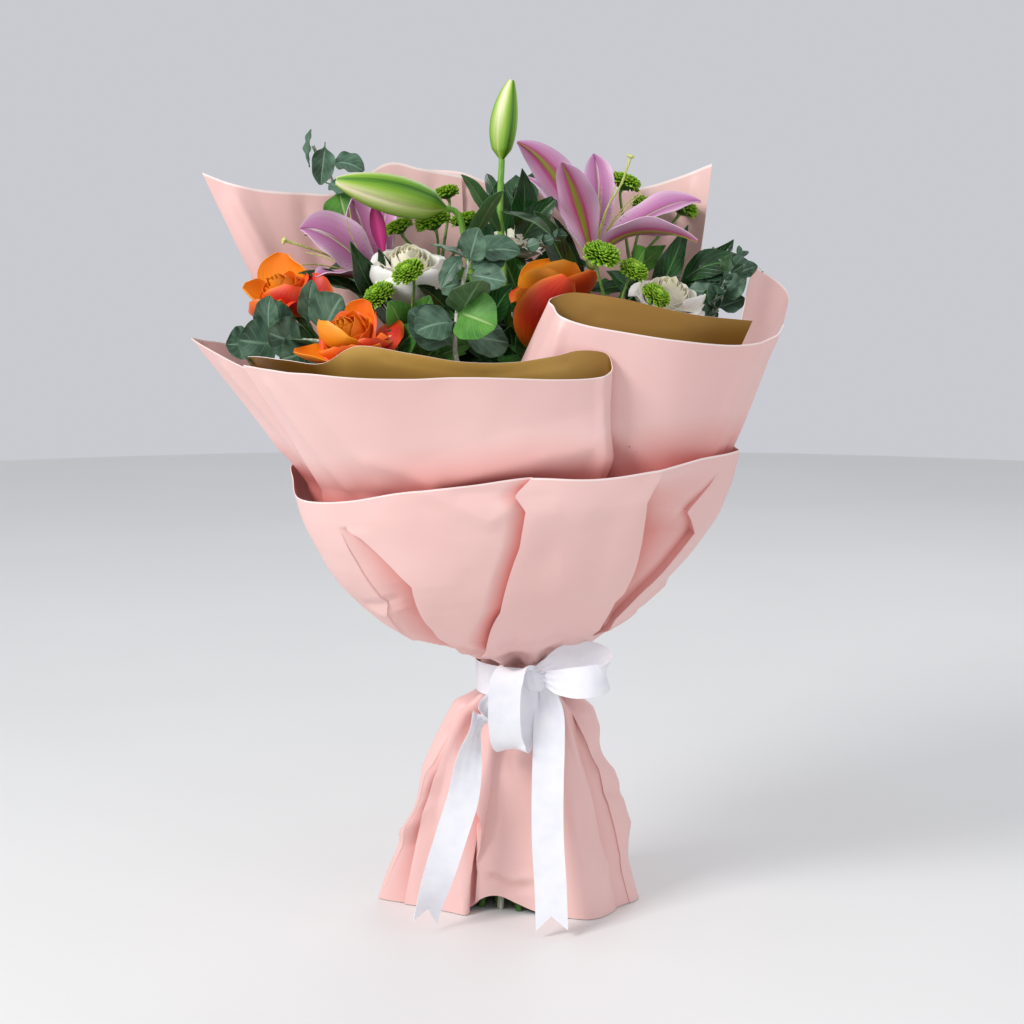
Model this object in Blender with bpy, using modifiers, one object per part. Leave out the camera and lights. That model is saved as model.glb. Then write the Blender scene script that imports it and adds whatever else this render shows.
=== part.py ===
"""Hand-tied mixed bouquet in folded two-tone paper, standing on its cut stems.

Right-handed frame, +Z up, +Y away from the front, lengths below in millimetres and
turned into metres when a mesh is made. The ground is z = 0 and the stems are tied at
z = 189. Every bloom, spray, stem and sheet is a mesh node of its own; neighbours keep a
gap of a few tenths of a millimetre.
"""

import math

import bmesh
import bpy
import numpy as np

MM = 0.001
PAPER = 0.8          # thickness of every sheet
RIBBON = 25.0        # width of the satin ribbon
TIE = (12.0, 0.0)    # axis of the tied neck
TIE_Z = 189.0
NECK_LOW, NECK_HIGH = 175.0, 203.0
RIM_Z = 345.0        # height at which the inner sheets pass the collar's rim
PITCH = 6.2          # spacing of the stems where they are tied
SPREAD, TWIST = 2.6, math.radians(40.0)   # of the stems between the tie and the table

# Collar rim round the tie: angle in degrees from +X, radius, height
COLLAR = [(11, 157, 377), (60, 120, 368), (90, 110, 362), (120, 118, 360), (150, 155, 360),
          (180, 187.5, 358), (189, 186, 350), (199, 186, 339), (214.5, 167.5, 342),
          (231.6, 153, 352), (252, 140.7, 359), (270, 138, 365), (291, 146, 364),
          (307, 155.6, 369), (323, 162, 374), (346, 168.8, 374.5), (356.6, 167, 372)]
# How far the collar has opened at a fraction of its height, left and right side
OPEN_LEFT = [(0, 0), (0.076, 0.2), (0.25, 0.57), (0.5, 0.81), (0.82, 0.96), (1, 1)]
OPEN_RIGHT = [(0, 0), (0.076, 0.1), (0.25, 0.42), (0.5, 0.72), (0.82, 0.95), (1, 1)]
# Creases of the collar: angle at the rim, angle at the neck, depth, half width in degrees
CREASES = [(275, 232, 9, 13), (310, 322, 9, 12), (212, 222, 8, 10), (352, 338, 7, 11),
           (170, 160, 7, 14), (60, 66, 7, 16)]
# Hem of the skirt: angle at the neck, then the point on the table
HEM = [(0, 103, 2, 0), (40, 84, 36, 0), (75, 34, 54, 0), (105, -24, 50, 0), (140, -76, 40, 0),
       (180, -110, 2, 0), (215, -74, -21, 0), (240, -38, -43, 0), (250, -32, -34, 3),
       (258, -20, -34, 12), (266, -8, -36, 14), (274, 6, -38, 8), (282, 22, -42, 2),
       (296, 62, -56, 0), (330, 88, -22, 0)]

# Sheets: per column the top point, the radius in the neck and the share of the collar's
# radius at the rim. A fold is a run of columns that turns back on itself.
FRONT_LEFT = [(-204, -75, 443, 23.8, .90), (-172, -112, 442, 23.8, .90),
              (-132, -138, 440, 23.8, .90), (-81, -148, 439, 23.8, .90),
              (-23, -152, 440, 23.8, .90), (28, -142, 438, 23.8, .90),
              (58, -132, 438, 23.8, .90), (71, -124, 441, 23.5, .89),
              (74, -118, 446, 22.95, .85), (69, -112, 455, 22.4, .81),
              (50, -112, 457, 22.1, .80), (29, -118, 453, 22.1, .80),
              (-2, -124, 449, 22.1, .80), (-38, -128, 450, 22.1, .80),
              (-75, -128, 456, 22.1, .80), (-114, -127, 461, 22.1, .80),
              (-140, -120, 446, 22.1, .80)]
FRONT_RIGHT = [(174, -60, 478, 18.7, .74), (142, -76, 481, 18.7, .74),
               (112, -80, 487, 18.7, .72), (81, -78, 494, 18.7, .68),
               (48, -72, 498, 18.7, .62), (33, -75, 495, 19.0, .62),
               (28, -80, 492, 19.5, .64), (31, -86, 489, 20.1, .67),
               (36, -98, 482, 20.4, .69), (53, -106, 476, 20.4, .70),
               (80, -112, 471, 20.4, .77), (125, -106, 464, 20.4, .87),
               (172, -84, 459, 20.4, .90), (201, -60, 464, 20.4, .90),
               (209, -45, 472, 20.4, .90)]
LEFT_SIDE = [(-218, 20, 452, 22.1, .88), (-242, -8, 458, 22.1, .92),
             (-250, -22, 460, 22.1, .92), (-229, -46, 451, 22.1, .88),
             (-206, -62, 442, 22.1, .82), (-190, -75, 436, 22.1, .80)]
RIGHT_SIDE = [(176, -20, 464, 18.7, .86), (188, -8, 511, 18.7, .86),
              (197, 0, 512, 18.7, .86), (218, 6, 495, 18.7, .86), (217, 14, 472, 18.7, .86)]
BACK_LEFT = [(-251, 60, 589, 18.7, .86), (-227, 60, 580, 18.7, .85),
             (-203, 66, 575, 18.7, .84), (-173, 74, 573, 18.7, .82),
             (-141, 82, 574, 18.7, .80), (-104, 100, 597, 18.7, .80),
             (-76, 104, 593, 18.7, .80), (-42, 106, 587, 18.7, .80)]
BACK_RIGHT = [(-68, 112, 592, 20.4, .86), (-43, 112, 590, 20.4, .86),
              (-17, 113, 581, 20.4, .86), (12, 112, 576, 20.4, .86), (40, 108, 575, 20.4, .86),
              (74, 102, 575, 20.4, .85), (106, 92, 577, 20.4, .84),
              (137, 72, 586, 20.4, .84), (162, 56, 596, 20.4, .84)]

# Blooms: centre, direction they face, radius
ROSES = {"orange_1": ((-122, -88, 466), (-.45, -.62, .64), 30),
         "orange_2": ((-178, -20, 495), (-.5, -.35, .79), 29),
         "orange_3": ((27, -25, 492), (.1, -.22, .97), 31),
         "white_1": ((-81, -12, 514), (.1, -.45, .89), 26),
         "white_2": ((7, 39, 534), (.05, -.2, .98), 21),
         "white_3": ((121, -18, 490), (.2, -.4, .89), 25)}
# Button heads: centre, radius, number of the spray
HEADS = [((-102, -50, 495), 13, 1), ((-79, -62, 513), 13, 1), ((-90, 26, 546), 12, 2),
         ((-63, 20, 550), 14, 2), ((-38, 52, 551), 12, 2), ((-53, 58, 573), 11, 2),
         ((91, 55, 581), 13, 3), ((110, 64, 561), 13, 3), ((138, 52, 561), 13, 3),
         ((68, -62, 526), 14, 4), ((93, -54, 514), 12, 4), ((110, -58, 495), 12, 4)]
FORKS = {1: (-80, -40, 462), 2: (-58, 32, 510), 3: (96, 50, 515), 4: (78, -46, 470)}
# Lilies: tepals as spine points with width and the way their inner face looks
LILY_1 = [([(64, 14, 520), (52, 14, 562), (34, 4, 602), (0, -10, 613)], 24, (.5, .3, -.8)),
          ([(64, 12, 520), (56, -10, 552), (48, -24, 578), (38, -44, 596)], 30, (.3, .8, .5)),
          ([(64, 14, 520), (82, 2, 548), (118, -10, 545), (146, -24, 536)], 24, (-.2, .3, .9)),
          ([(64, 18, 520), (92, 26, 552), (126, 30, 570), (151, 34, 566)], 24, (-.3, -.2, .9)),
          ([(64, 22, 520), (70, 38, 556), (72, 46, 588), (66, 62, 604)], 26, (.1, -.9, .4)),
          ([(62, 18, 520), (48, 34, 548), (34, 48, 574), (10, 62, 586)], 24, (.6, -.5, .6))]
LILY_2 = [([(-103, 20, 500), (-126, 4, 524), (-148, -8, 546), (-165, -16, 546)], 26,
           (.2, -.3, .93)),
          ([(-103, 18, 500), (-126, -6, 510), (-146, -20, 520), (-154, -32, 514)], 24,
           (-.1, .2, .97)),
          ([(-103, 23, 500), (-112, 28, 530), (-120, 30, 552), (-126, 22, 568)], 24,
           (.2, -.9, .3)),
          ([(-103, 24, 500), (-106, 40, 530), (-104, 48, 554), (-100, 60, 568)], 24,
           (-.3, -.9, .2)),
          ([(-104, 24, 500), (-128, 36, 522), (-150, 44, 540), (-168, 50, 540)], 24,
           (.1, -.3, .95))]
CENTRE_1, CENTRE_2 = (64, 16, 518), (-102, 21, 498)
FACE_1, FACE_2 = (.2, -.1, .97), (-.72, -.2, .66)
BUDS = {1: ([(-8, 14, 599), (-7, 14, 630), (0, 15, 661)], 11.5, (-.05, 0, 1)),
        2: ([(-53, 0, 561), (-95, -10, 574), (-137, -21, 582)], 16.5, (-.9, -.22, .35))}

# Stems: kind, then the points that the stem leads to above the tie
STEMS = {
    "rose_orange_1": ("rose", [(-110, -71, 448)]), "rose_orange_2": ("rose", [(-164, -10, 473)]),
    "rose_orange_3": ("rose", [(24, -19, 465)]), "rose_white_1": ("rose", [(-83, -1, 491)]),
    "rose_white_2": ("rose", [(6, 43, 512)]), "rose_white_3": ("rose", [(116, -8, 468)]),
    "lily_1": ("lily", [(62, 16, 504), (63, 16, 511)]),
    "lily_2": ("lily", [(-92, 24, 484), (-97, 22, 492)]),
    "lily_bud_1": ("lily", [(-9, 8, 540), (-8, 13, 598)]),
    "lily_bud_2": ("lily", [(-38, 4, 540), (-43, 3, 557), (-52, 0, 560.5)]),
    "spray_1": ("spray", [FORKS[1]]), "spray_2": ("spray", [FORKS[2]]),
    "spray_3": ("spray", [FORKS[3]]), "spray_4": ("spray", [FORKS[4]]),
    "eucalyptus_1": ("eucalyptus", [(-126, 62, 527), (-142, 58, 575), (-160, 50, 610)]),
    "eucalyptus_2": ("eucalyptus", [(-138, -52, 458), (-192, -48, 460), (-212, -44, 454)]),
    "eucalyptus_3": ("eucalyptus", [(-43, -80, 455), (-40, -80, 492), (-30, -74, 530)]),
    "eucalyptus_4": ("eucalyptus", [(156, 0, 470), (166, -4, 494), (178, -4, 516)]),
    "foliage": ("foliage", [(8, 62, 470), (2, 64, 560)]),
}
RADIUS = {"rose": 2.9, "lily": 2.9, "spray": 2.7, "eucalyptus": 2.7, "foliage": 2.7}
# Leaves of a stem: height of the node, azimuth and rise in degrees, length, side to front
LEAVES = {
    "eucalyptus_1": [(509, 195, -10, 36, 1), (534, 120, 60, 36, 0), (538, 210, 20, 42, 0),
        (574, 195, -10, 36, 1), (579, 225, 40, 42, 1), (581, 75, 40, 30, 0), (582, 210, 5, 30, 1),
        (591, 90, 60, 36, 1)],
    "eucalyptus_2": [(440, 165, 5, 46, 1), (445, 210, -10, 42, 1), (447, 210, 20, 46, 0),
        (448, 180, -10, 42, 1)],
    "eucalyptus_3": [(456, 195, 40, 46, 1), (467, 30, -10, 46, 1), (479, 300, 40, 46, 0),
        (505, 135, -10, 38, 1), (512, 345, -10, 32, 1), (515, 15, 20, 32, 1),
        (519, 300, 60, 38, 1), (523, 165, 20, 38, 1)],
    "eucalyptus_4": [(475, 240, 40, 20, 1), (482, 0, 20, 24, 1), (486, 240, 40, 24, 1),
        (490, 330, 40, 28, 1), (494, 165, 5, 28, 1), (505, 270, 60, 24, 0), (506, 150, 20, 28, 1),
        (509, 345, 20, 20, 1)],
    "foliage": [(443, 180, -10, 50, 1), (454, 135, 20, 50, 1), (456, 150, 40, 62, 1),
        (458, 180, -10, 50, 1), (503, 315, 5, 62, 1), (509, 15, 5, 62, 1), (511, 165, 40, 62, 1),
        (529, 75, 40, 62, 1), (540, 90, 40, 74, 1), (548, 45, 60, 50, 1)],
    "rose_orange_1": [(428, 285, 60, 50, 1)],
    "rose_orange_2": [(444, 195, -10, 50, 1), (456, 135, 5, 50, 1), (458, 195, 5, 34, 1)],
    "rose_orange_3": [(433, 225, 60, 50, 1), (443, 150, 5, 50, 1), (447, 165, 20, 34, 1)],
    "rose_white_1": [(445, 315, 5, 42, 1), (451, 315, 60, 50, 0), (470, 285, 40, 42, 0)],
    "rose_white_2": [(467, 150, 5, 50, 1), (475, 210, 40, 34, 1), (486, 225, 60, 50, 1)],
    "lily_1": [(482, 210, 60, 95, 1), (491, 135, 60, 78, 0), (496, 15, 5, 60, 1)],
    "lily_2": [(442, 150, 40, 95, 0), (443, 0, 20, 78, 1), (461, 255, -10, 60, 1)],
    "lily_bud_1": [(541, 240, 40, 78, 0), (553, 105, 40, 60, 0), (559, 300, -10, 78, 0)],
    "lily_bud_2": [(447, 225, 40, 95, 1), (461, 165, 20, 60, 1), (529, 300, 40, 78, 0)],
    "spray_1": [(433, 255, 60, 36, 1), (449, 0, 5, 28, 1)],
    "spray_2": [(457, 135, 5, 42, 1), (498, 30, 20, 36, 1)],
    "spray_3": [(495, 195, 5, 28, 1), (504, 345, 40, 42, 1)],
    "spray_4": [(463, 330, 60, 36, 0)],
}

COLOURS = {
    "paper": (.86, .50, .48), "gold": (.40, .27, .06), "ribbon": (.85, .85, .9),
    "orange": (.95, .18, .01), "white": (.85, .83, .68), "lily": (.60, .25, .45),
    "bud": (.22, .38, .03), "green": (.12, .30, .02), "stem": (.07, .19, .03),
    "dark": (.01, .06, .01), "grey_green": (.08, .19, .11), "twine": (.45, .33, .16),
}


def unit(v):
    v = np.asarray(v, float)
    return v / np.linalg.norm(v)


def bezier(points, t):
    """Point at t of the Bezier curve with these control points."""
    p = [np.asarray(q, float) for q in points]
    while len(p) > 1:
        p = [a + (b - a) * t for a, b in zip(p, p[1:])]
    return p[0]


def closed_table(table, angle):
    """Values at an angle from a table round the circle, by smooth interpolation."""
    angles = [row[0] for row in table]
    n = len(table)
    a = angle % 360.0
    if a < angles[0]:
        a += 360.0
    k = max(i for i in range(n) if angles[i] <= a)
    q = [table[(k + j) % n] for j in (-1, 0, 1, 2)]
    x = [row[0] + 360.0 * ((k + j) // n) for row, j in zip(q, (-1, 0, 1, 2))]
    t = (a - x[1]) / (x[2] - x[1])
    out = []
    for c in range(1, len(table[0])):
        y = [row[c] for row in q]
        h = x[2] - x[1]
        m1 = h * (y[2] - y[0]) / (x[2] - x[0])
        m2 = h * (y[3] - y[1]) / (x[3] - x[1])
        out.append((2 * t**3 - 3 * t**2 + 1) * y[1] + (t**3 - 2 * t**2 + t) * m1
                   + (3 * t**2 - 2 * t**3) * y[2] + (t**3 - t**2) * m2)
    return out


def table_value(table, t):
    return float(np.interp(t, [a for a, b in table], [b for a, b in table]))


TEMPLATES = {}


def ball(u, v):
    """Unit sphere of u by v segments: its points as ring, angle round and faces."""
    if (u, v) not in TEMPLATES:
        bm = bmesh.new()
        bmesh.ops.create_uvsphere(bm, u_segments=u, v_segments=v, radius=1.0)
        rows = []
        for vert in bm.verts:
            z = max(-1.0, min(1.0, vert.co.z))
            ring = round(math.acos(z) / math.pi * v)
            rows.append((ring, math.atan2(vert.co.y, vert.co.x)))
        faces = [[vert.index for vert in face.verts] for face in bm.faces]
        bm.free()
        TEMPLATES[(u, v)] = (rows, faces)
    return TEMPLATES[(u, v)]


def outward(verts, faces):
    """The same closed shape with its faces turned outward."""
    verts = np.asarray(verts, float)
    c = verts.mean(0)
    volume = 0.0
    for f in faces:
        for i in range(1, len(f) - 1):
            volume += np.dot(verts[f[0]] - c, np.cross(verts[f[i]] - c, verts[f[i + 1]] - c))
    return verts, faces if volume > 0 else [list(reversed(f)) for f in faces]


def blade(spine, width, face, thick=0.8, u=4, v=5, cup=0.0, tip=1.0, wave=0.0, outline=None):
    """Leaf or petal: a sphere drawn out along a spine into a thin lens.

    face is the way its upper side looks, cup bends its edges that way, tip above 1
    moves its widest place outward, wave ripples the edges and outline gives the widths
    of the rings one by one.
    """
    rings, faces = ball(u, v)
    verts = []
    for ring, angle in rings:
        t = ring / v
        if ring in (0, v):
            verts.append(bezier(spine, t))
            continue
        tangent = unit(bezier(spine, min(1, t + .02)) - bezier(spine, max(0, t - .02)))
        across = unit(np.cross(tangent, unit(face)))
        normal = np.cross(across, tangent)
        share = outline[ring - 1] if outline else math.sin(math.pi * t**tip) ** 0.75
        half = 0.5 * width * share
        w, h = math.cos(angle), math.sin(angle)
        lift = cup * half * w * w + wave * half * w * math.cos(ring * 2.4)
        verts.append(bezier(spine, t) + across * w * half + normal * (lift + h * thick / 2))
    return outward(verts, faces)


def axes_of(axis):
    """Two directions square to an axis."""
    a = unit(axis)
    side = unit(np.cross(a, (0, 1, 0) if abs(a[1]) < .9 else (1, 0, 0)))
    return side, np.cross(a, side), a


def rose(centre, axis, radius):
    """Rose of a closed core and three turns of petals; returns its shapes."""
    x, y, z = axes_of(axis)
    base = np.asarray(centre, float) - z * 0.62 * radius
    height = 1.25 * radius

    def place(r, a, h):
        return base + (x * math.cos(a) + y * math.sin(a)) * r + z * h

    rings, faces = ball(6, 5)
    core = []
    for ring, angle in rings:
        s = ring / 5
        r = 0.62 * radius * math.sin(math.pi * min(1, .08 + .92 * (1 - s))) ** 0.6
        r = 0 if ring in (0, 5) else r * (1 + .06 * math.cos(3 * angle + s * 4))
        core.append(place(r, angle, max(0.0, height * (1.04 * (1 - s) - .1))))
    shapes = [outward(core, faces)]
    turns = [(2, .66, .68, .98, 1.35, .2), (3, .84, .86, .9, 1.45, 1.3), (3, .99, 1.17, .72, 1.7, .5)]
    for count, belly, lip, top, width, start in turns:
        for k in range(count):
            a = start + k * 2 * math.pi / count
            spine = [place(.1 * radius, a, .05 * height), place(belly * radius * 1.15, a, .16 * height),
                     place(belly * radius, a, .62 * height), place(lip * radius, a, top * height)]
            face = -(x * math.cos(a) + y * math.sin(a)) + z * .15
            shapes.append(blade(spine, width * radius, face, .9, 4, 4, cup=.42, tip=1.35))
    return shapes


def head(centre, axis, radius):
    """Button head: a dome whose faces are drawn out into pointed florets."""
    x, y, z = axes_of(axis)
    bm = bmesh.new()
    bmesh.ops.create_icosphere(bm, subdivisions=2, radius=1.0)
    old = len(bm.verts)
    upper = [f for f in bm.faces if f.calc_center_median().z > -.25]
    bmesh.ops.poke(bm, faces=upper, offset=0.0)
    verts = []
    for i, vert in enumerate(bm.verts):
        p = np.array(vert.co)
        p = p / np.linalg.norm(p) * (0.76 if i < old else 1.02)
        if p[2] < 0:
            p[2] *= 0.55
        verts.append(np.asarray(centre, float) + radius * (x * p[0] + y * p[1] + z * p[2] * .86))
    faces = [[v.index for v in f.verts] for f in bm.faces]
    bm.free()
    return outward(verts, faces)


def bud(spine, radius):
    """Closed lily bud: three blunt ribs drawn along a slightly bent spine."""
    rings, faces = ball(9, 7)
    verts = []
    for ring, angle in rings:
        t = 1 - ring / 7
        p = bezier(spine, t)
        if ring in (0, 7):
            verts.append(p)
            continue
        tangent = unit(bezier(spine, min(1, t + .02)) - bezier(spine, max(0, t - .02)))
        side, up, _ = axes_of(tangent)
        r = radius * math.sin(math.pi * (.06 + .92 * t)) ** .62 * (.82 + .25 * (1 - t))
        r *= 1 + .07 * math.cos(3 * angle)
        verts.append(p + r * (side * math.cos(angle) + up * math.sin(angle)))
    return outward(verts, faces)


def tube(points, radii, sides=6):
    """Round bar through points, from a bevelled curve with closed ends."""
    curve = bpy.data.curves.new("bar", "CURVE")
    curve.dimensions = "3D"
    curve.bevel_depth = 1.0
    curve.bevel_resolution = (sides - 4) // 2
    curve.use_fill_caps = True
    spline = curve.splines.new("POLY")
    spline.points.add(len(points) - 1)
    for point, p, r in zip(spline.points, points, radii):
        point.co = (*p, 1.0)
        point.radius = r
    thing = bpy.data.objects.new("bar", curve)
    bpy.context.scene.collection.objects.link(thing)
    mesh = bpy.data.meshes.new_from_object(thing.evaluated_get(
        bpy.context.evaluated_depsgraph_get()))
    bm = bmesh.new()
    bm.from_mesh(mesh)
    bmesh.ops.remove_doubles(bm, verts=bm.verts, dist=1e-4)
    bm.verts.index_update()
    verts = [np.array(v.co) for v in bm.verts]
    faces = [[v.index for v in f.verts] for f in bm.faces]
    bm.free()
    bpy.data.objects.remove(thing)
    return outward(verts, faces)


def cut_square(shape, start, along, radius):
    """Move the first ring of a bar along its axis until it lies on the table."""
    verts, faces = shape
    along = unit(along)
    for i, v in enumerate(verts):
        if np.linalg.norm(v - start) < 1.6 * radius:
            verts[i] = v - along * (v[2] / along[2])
    return verts, faces


def mesh_object(name, shapes, collection, join=True):
    """One closed mesh object from overlapping closed shapes, by Boolean union."""
    made = []
    for verts, faces in shapes:
        mesh = bpy.data.meshes.new(name)
        mesh.from_pydata([tuple(np.asarray(v) * MM) for v in verts], [], faces)
        made.append(bpy.data.objects.new(name, mesh))
    base = made[0]
    collection.objects.link(base)
    if len(made) > 1:
        tools = bpy.data.collections.new("joined")
        bpy.context.scene.collection.children.link(tools)
        for other in made[1:]:
            tools.objects.link(other)
        union = base.modifiers.new("union", "BOOLEAN")
        union.operation = "UNION"
        union.operand_type = "COLLECTION"
        union.collection = tools
        union.solver = "MANIFOLD"
        bpy.context.view_layer.update()
        mesh = bpy.data.meshes.new_from_object(base.evaluated_get(
            bpy.context.evaluated_depsgraph_get()))
        base.modifiers.clear()
        base.data = mesh
        fill_pockets(mesh, name)
        for other in made[1:]:
            bpy.data.objects.remove(other)
        bpy.data.collections.remove(tools)
    return base


def fill_pockets(mesh, name):
    """Drop the inner skins of pockets that a union has closed in."""
    bm = bmesh.new()
    bm.from_mesh(mesh)
    left = set(bm.faces)
    skins = []
    while left:
        todo = [left.pop()]
        skin = []
        while todo:
            face = todo.pop()
            skin.append(face)
            for edge in face.edges:
                for other in edge.link_faces:
                    if other in left:
                        left.remove(other)
                        todo.append(other)
        skins.append(skin)
    skins.sort(key=len)
    for skin in skins[:-1]:
        volume = sum(f.calc_center_median().dot(f.normal) * f.calc_area() for f in skin) / 3e-9
        if volume > 0.001:
            at = skin[0].calc_center_median() * 1000
            print("loose", name, len(skin), round(volume, 3), [round(c) for c in at])
        else:
            bmesh.ops.delete(bm, geom=skin, context="FACES")
    bm.to_mesh(mesh)
    bm.free()


def finish(thing, name, colour):
    """Name the node and give it a material."""
    thing.name = name
    thing.data.name = name
    material = bpy.data.materials.get(colour) or bpy.data.materials.new(colour)
    material.use_nodes = True
    shader = material.node_tree.nodes["Principled BSDF"]
    shader.inputs["Base Color"].default_value = (*COLOURS[colour], 1.0)
    shader.inputs["Roughness"].default_value = 0.6
    thing.data.materials.clear()
    thing.data.materials.append(material)
    bm = bmesh.new()
    bm.from_mesh(thing.data)
    bmesh.ops.triangulate(bm, faces=bm.faces)
    bm.to_mesh(thing.data)
    bm.free()
    return thing


def opened(z, side):
    """Share of its opening that the collar has reached, side 0 left to 1 right."""
    return table_value(OPEN_LEFT, z) * (1 - side) + table_value(OPEN_RIGHT, z) * side


def around(angle, radius, z):
    a = math.radians(angle)
    return np.array((TIE[0] + radius * math.cos(a), TIE[1] + radius * math.sin(a), z))


def sheet_point(column, v):
    """Point of an inner sheet: column as in the tables, v from 0 (neck) to 1 (top)."""
    x, y, z, neck, share = column
    angle = math.degrees(math.atan2(y - TIE[1], x - TIE[0]))
    rim = share * closed_table(COLLAR, angle)[0]
    if v < .1:
        return around(angle, neck, NECK_LOW + (NECK_HIGH - NECK_LOW) * v / .1)
    if v < .6:
        s = (v - .1) / .5
        side = .5 + .5 * math.cos(math.radians(angle))
        reach = (RIM_Z - NECK_HIGH) / (closed_table(COLLAR, angle)[1] - NECK_HIGH)
        bowl = (opened(s * reach, side) / opened(reach, side)) ** 1.25
        return around(angle, neck + (rim - neck) * bowl, NECK_HIGH + (RIM_Z - NECK_HIGH) * s)
    low = around(angle, rim, RIM_Z)
    return low + (np.array((x, y, z), float) - low) * (v - .6) / .4


def grid_object(name, rows, closed, collection):
    """Sheet of paper through rows of points, given its thickness by Solidify."""
    across = len(rows[0])
    verts = [tuple(np.asarray(p) * MM) for row in rows for p in row]
    faces = []
    for j in range(len(rows) - 1):
        for i in range(across if closed else across - 1):
            a, b = j * across + i, j * across + (i + 1) % across
            faces += [(a, b, b + across), (a, b + across, a + across)]
    mesh = bpy.data.meshes.new(name)
    mesh.from_pydata(verts, [], faces)
    thing = bpy.data.objects.new(name, mesh)
    collection.objects.link(thing)
    solid = thing.modifiers.new("thickness", "SOLIDIFY")
    solid.thickness = PAPER * MM
    solid.offset = 0.0
    bpy.context.view_layer.update()
    mesh = bpy.data.meshes.new_from_object(thing.evaluated_get(
        bpy.context.evaluated_depsgraph_get()))
    thing.modifiers.clear()
    thing.data = mesh
    return thing


def sheet(name, columns, collection):
    levels = [0, .1, .17, .27, .42, .6, .8, 1]
    rows = [[sheet_point(c, v) for c in columns] for v in levels]
    return finish(grid_object(name, rows, False, collection), name, "paper")


def wrap_point(angle, v, lift=0.0):
    """Point of the outer wrap: v from -1 (hem) over 0 (neck) to 1 (collar rim)."""
    calm = 1 - .75 * math.exp(-(((angle - 95 + 180) % 360 - 180) / 14) ** 2)
    pleat = 7.1 * calm * math.cos(math.radians(10 * (angle - 95)))
    if v < -.1:
        s = (-v - .1) / .9
        x, y, z = closed_table(HEM, angle)
        foot = np.array((x, y, 0.0))
        out = unit(foot - np.array((-4, 0, 0)))
        neck = around(angle, 32.4 + lift + pleat * max(0, 1 - s * 1.6), NECK_LOW)
        p = neck + (foot + out * lift - neck) * s**.72
        p[2] = NECK_LOW + (max(z, 0) - NECK_LOW) * s
        return p
    if v < .1:
        return around(angle, 32.4 + lift + pleat, NECK_LOW + (NECK_HIGH - NECK_LOW) * (v + .1) / .2)
    s = (v - .1) / .9
    rim, top = closed_table(COLLAR, angle)
    side = .5 + .5 * math.cos(math.radians(angle))
    radius = 32.4 + pleat * max(0, 1 - s * 3.2) + (rim - 32.4) * opened(s, side)
    for upper, lower, depth, half in CREASES:
        off = (angle - (lower + (upper - lower) * s**.6) + 180) % 360 - 180
        radius -= depth * max(0, 1 - abs(off) / half) * min(1, 7 * s) * (1 - .75 * s)
    return around(angle, radius + lift, NECK_HIGH + (top - NECK_HIGH) * s)


def outer_wrap(collection):
    levels = [-1, -.76, -.52, -.32, -.19, -.1, .1, .16, .25, .37, .53, .75, 1]
    count = 40
    rows = []
    for v in levels:
        row = []
        for k in range(count + 3):
            angle = 95 + 360.0 * k / count
            row.append(wrap_point(angle, v, 1.9 * min(1, max(0, (k - count + 4) / 4))))
        rows.append(row)
    return finish(grid_object("outer_wrap", rows, False, collection), "outer_wrap", "paper")


def strip(points, across, width, closed=False):
    """Ribbon along points, flat across the given directions; returns a closed shape."""
    n = len(points)
    verts, faces = [], []
    for k in range(n):
        before = points[(k - 1) % n] if closed else points[max(0, k - 1)]
        after = points[(k + 1) % n] if closed else points[min(n - 1, k + 1)]
        run = unit(np.asarray(after, float) - np.asarray(before, float))
        side = np.asarray(across[k], float)
        side = unit(side - run * np.dot(side, run))
        normal = np.cross(run, side)
        for w, h in ((-.5, -.5), (.5, -.5), (.5, .5), (-.5, .5)):
            verts.append(np.asarray(points[k], float) + side * w * width[k] + normal * h * PAPER)
    for k in range(n if closed else n - 1):
        a, b = 4 * k, 4 * ((k + 1) % n)
        for i in range(4):
            j = (i + 1) % 4
            faces.append([a + i, a + j, b + j, b + i])
    if not closed:
        faces += [[3, 2, 1, 0], [4 * n - 4, 4 * n - 3, 4 * n - 2, 4 * n - 1]]
    return outward(verts, faces)


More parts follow.
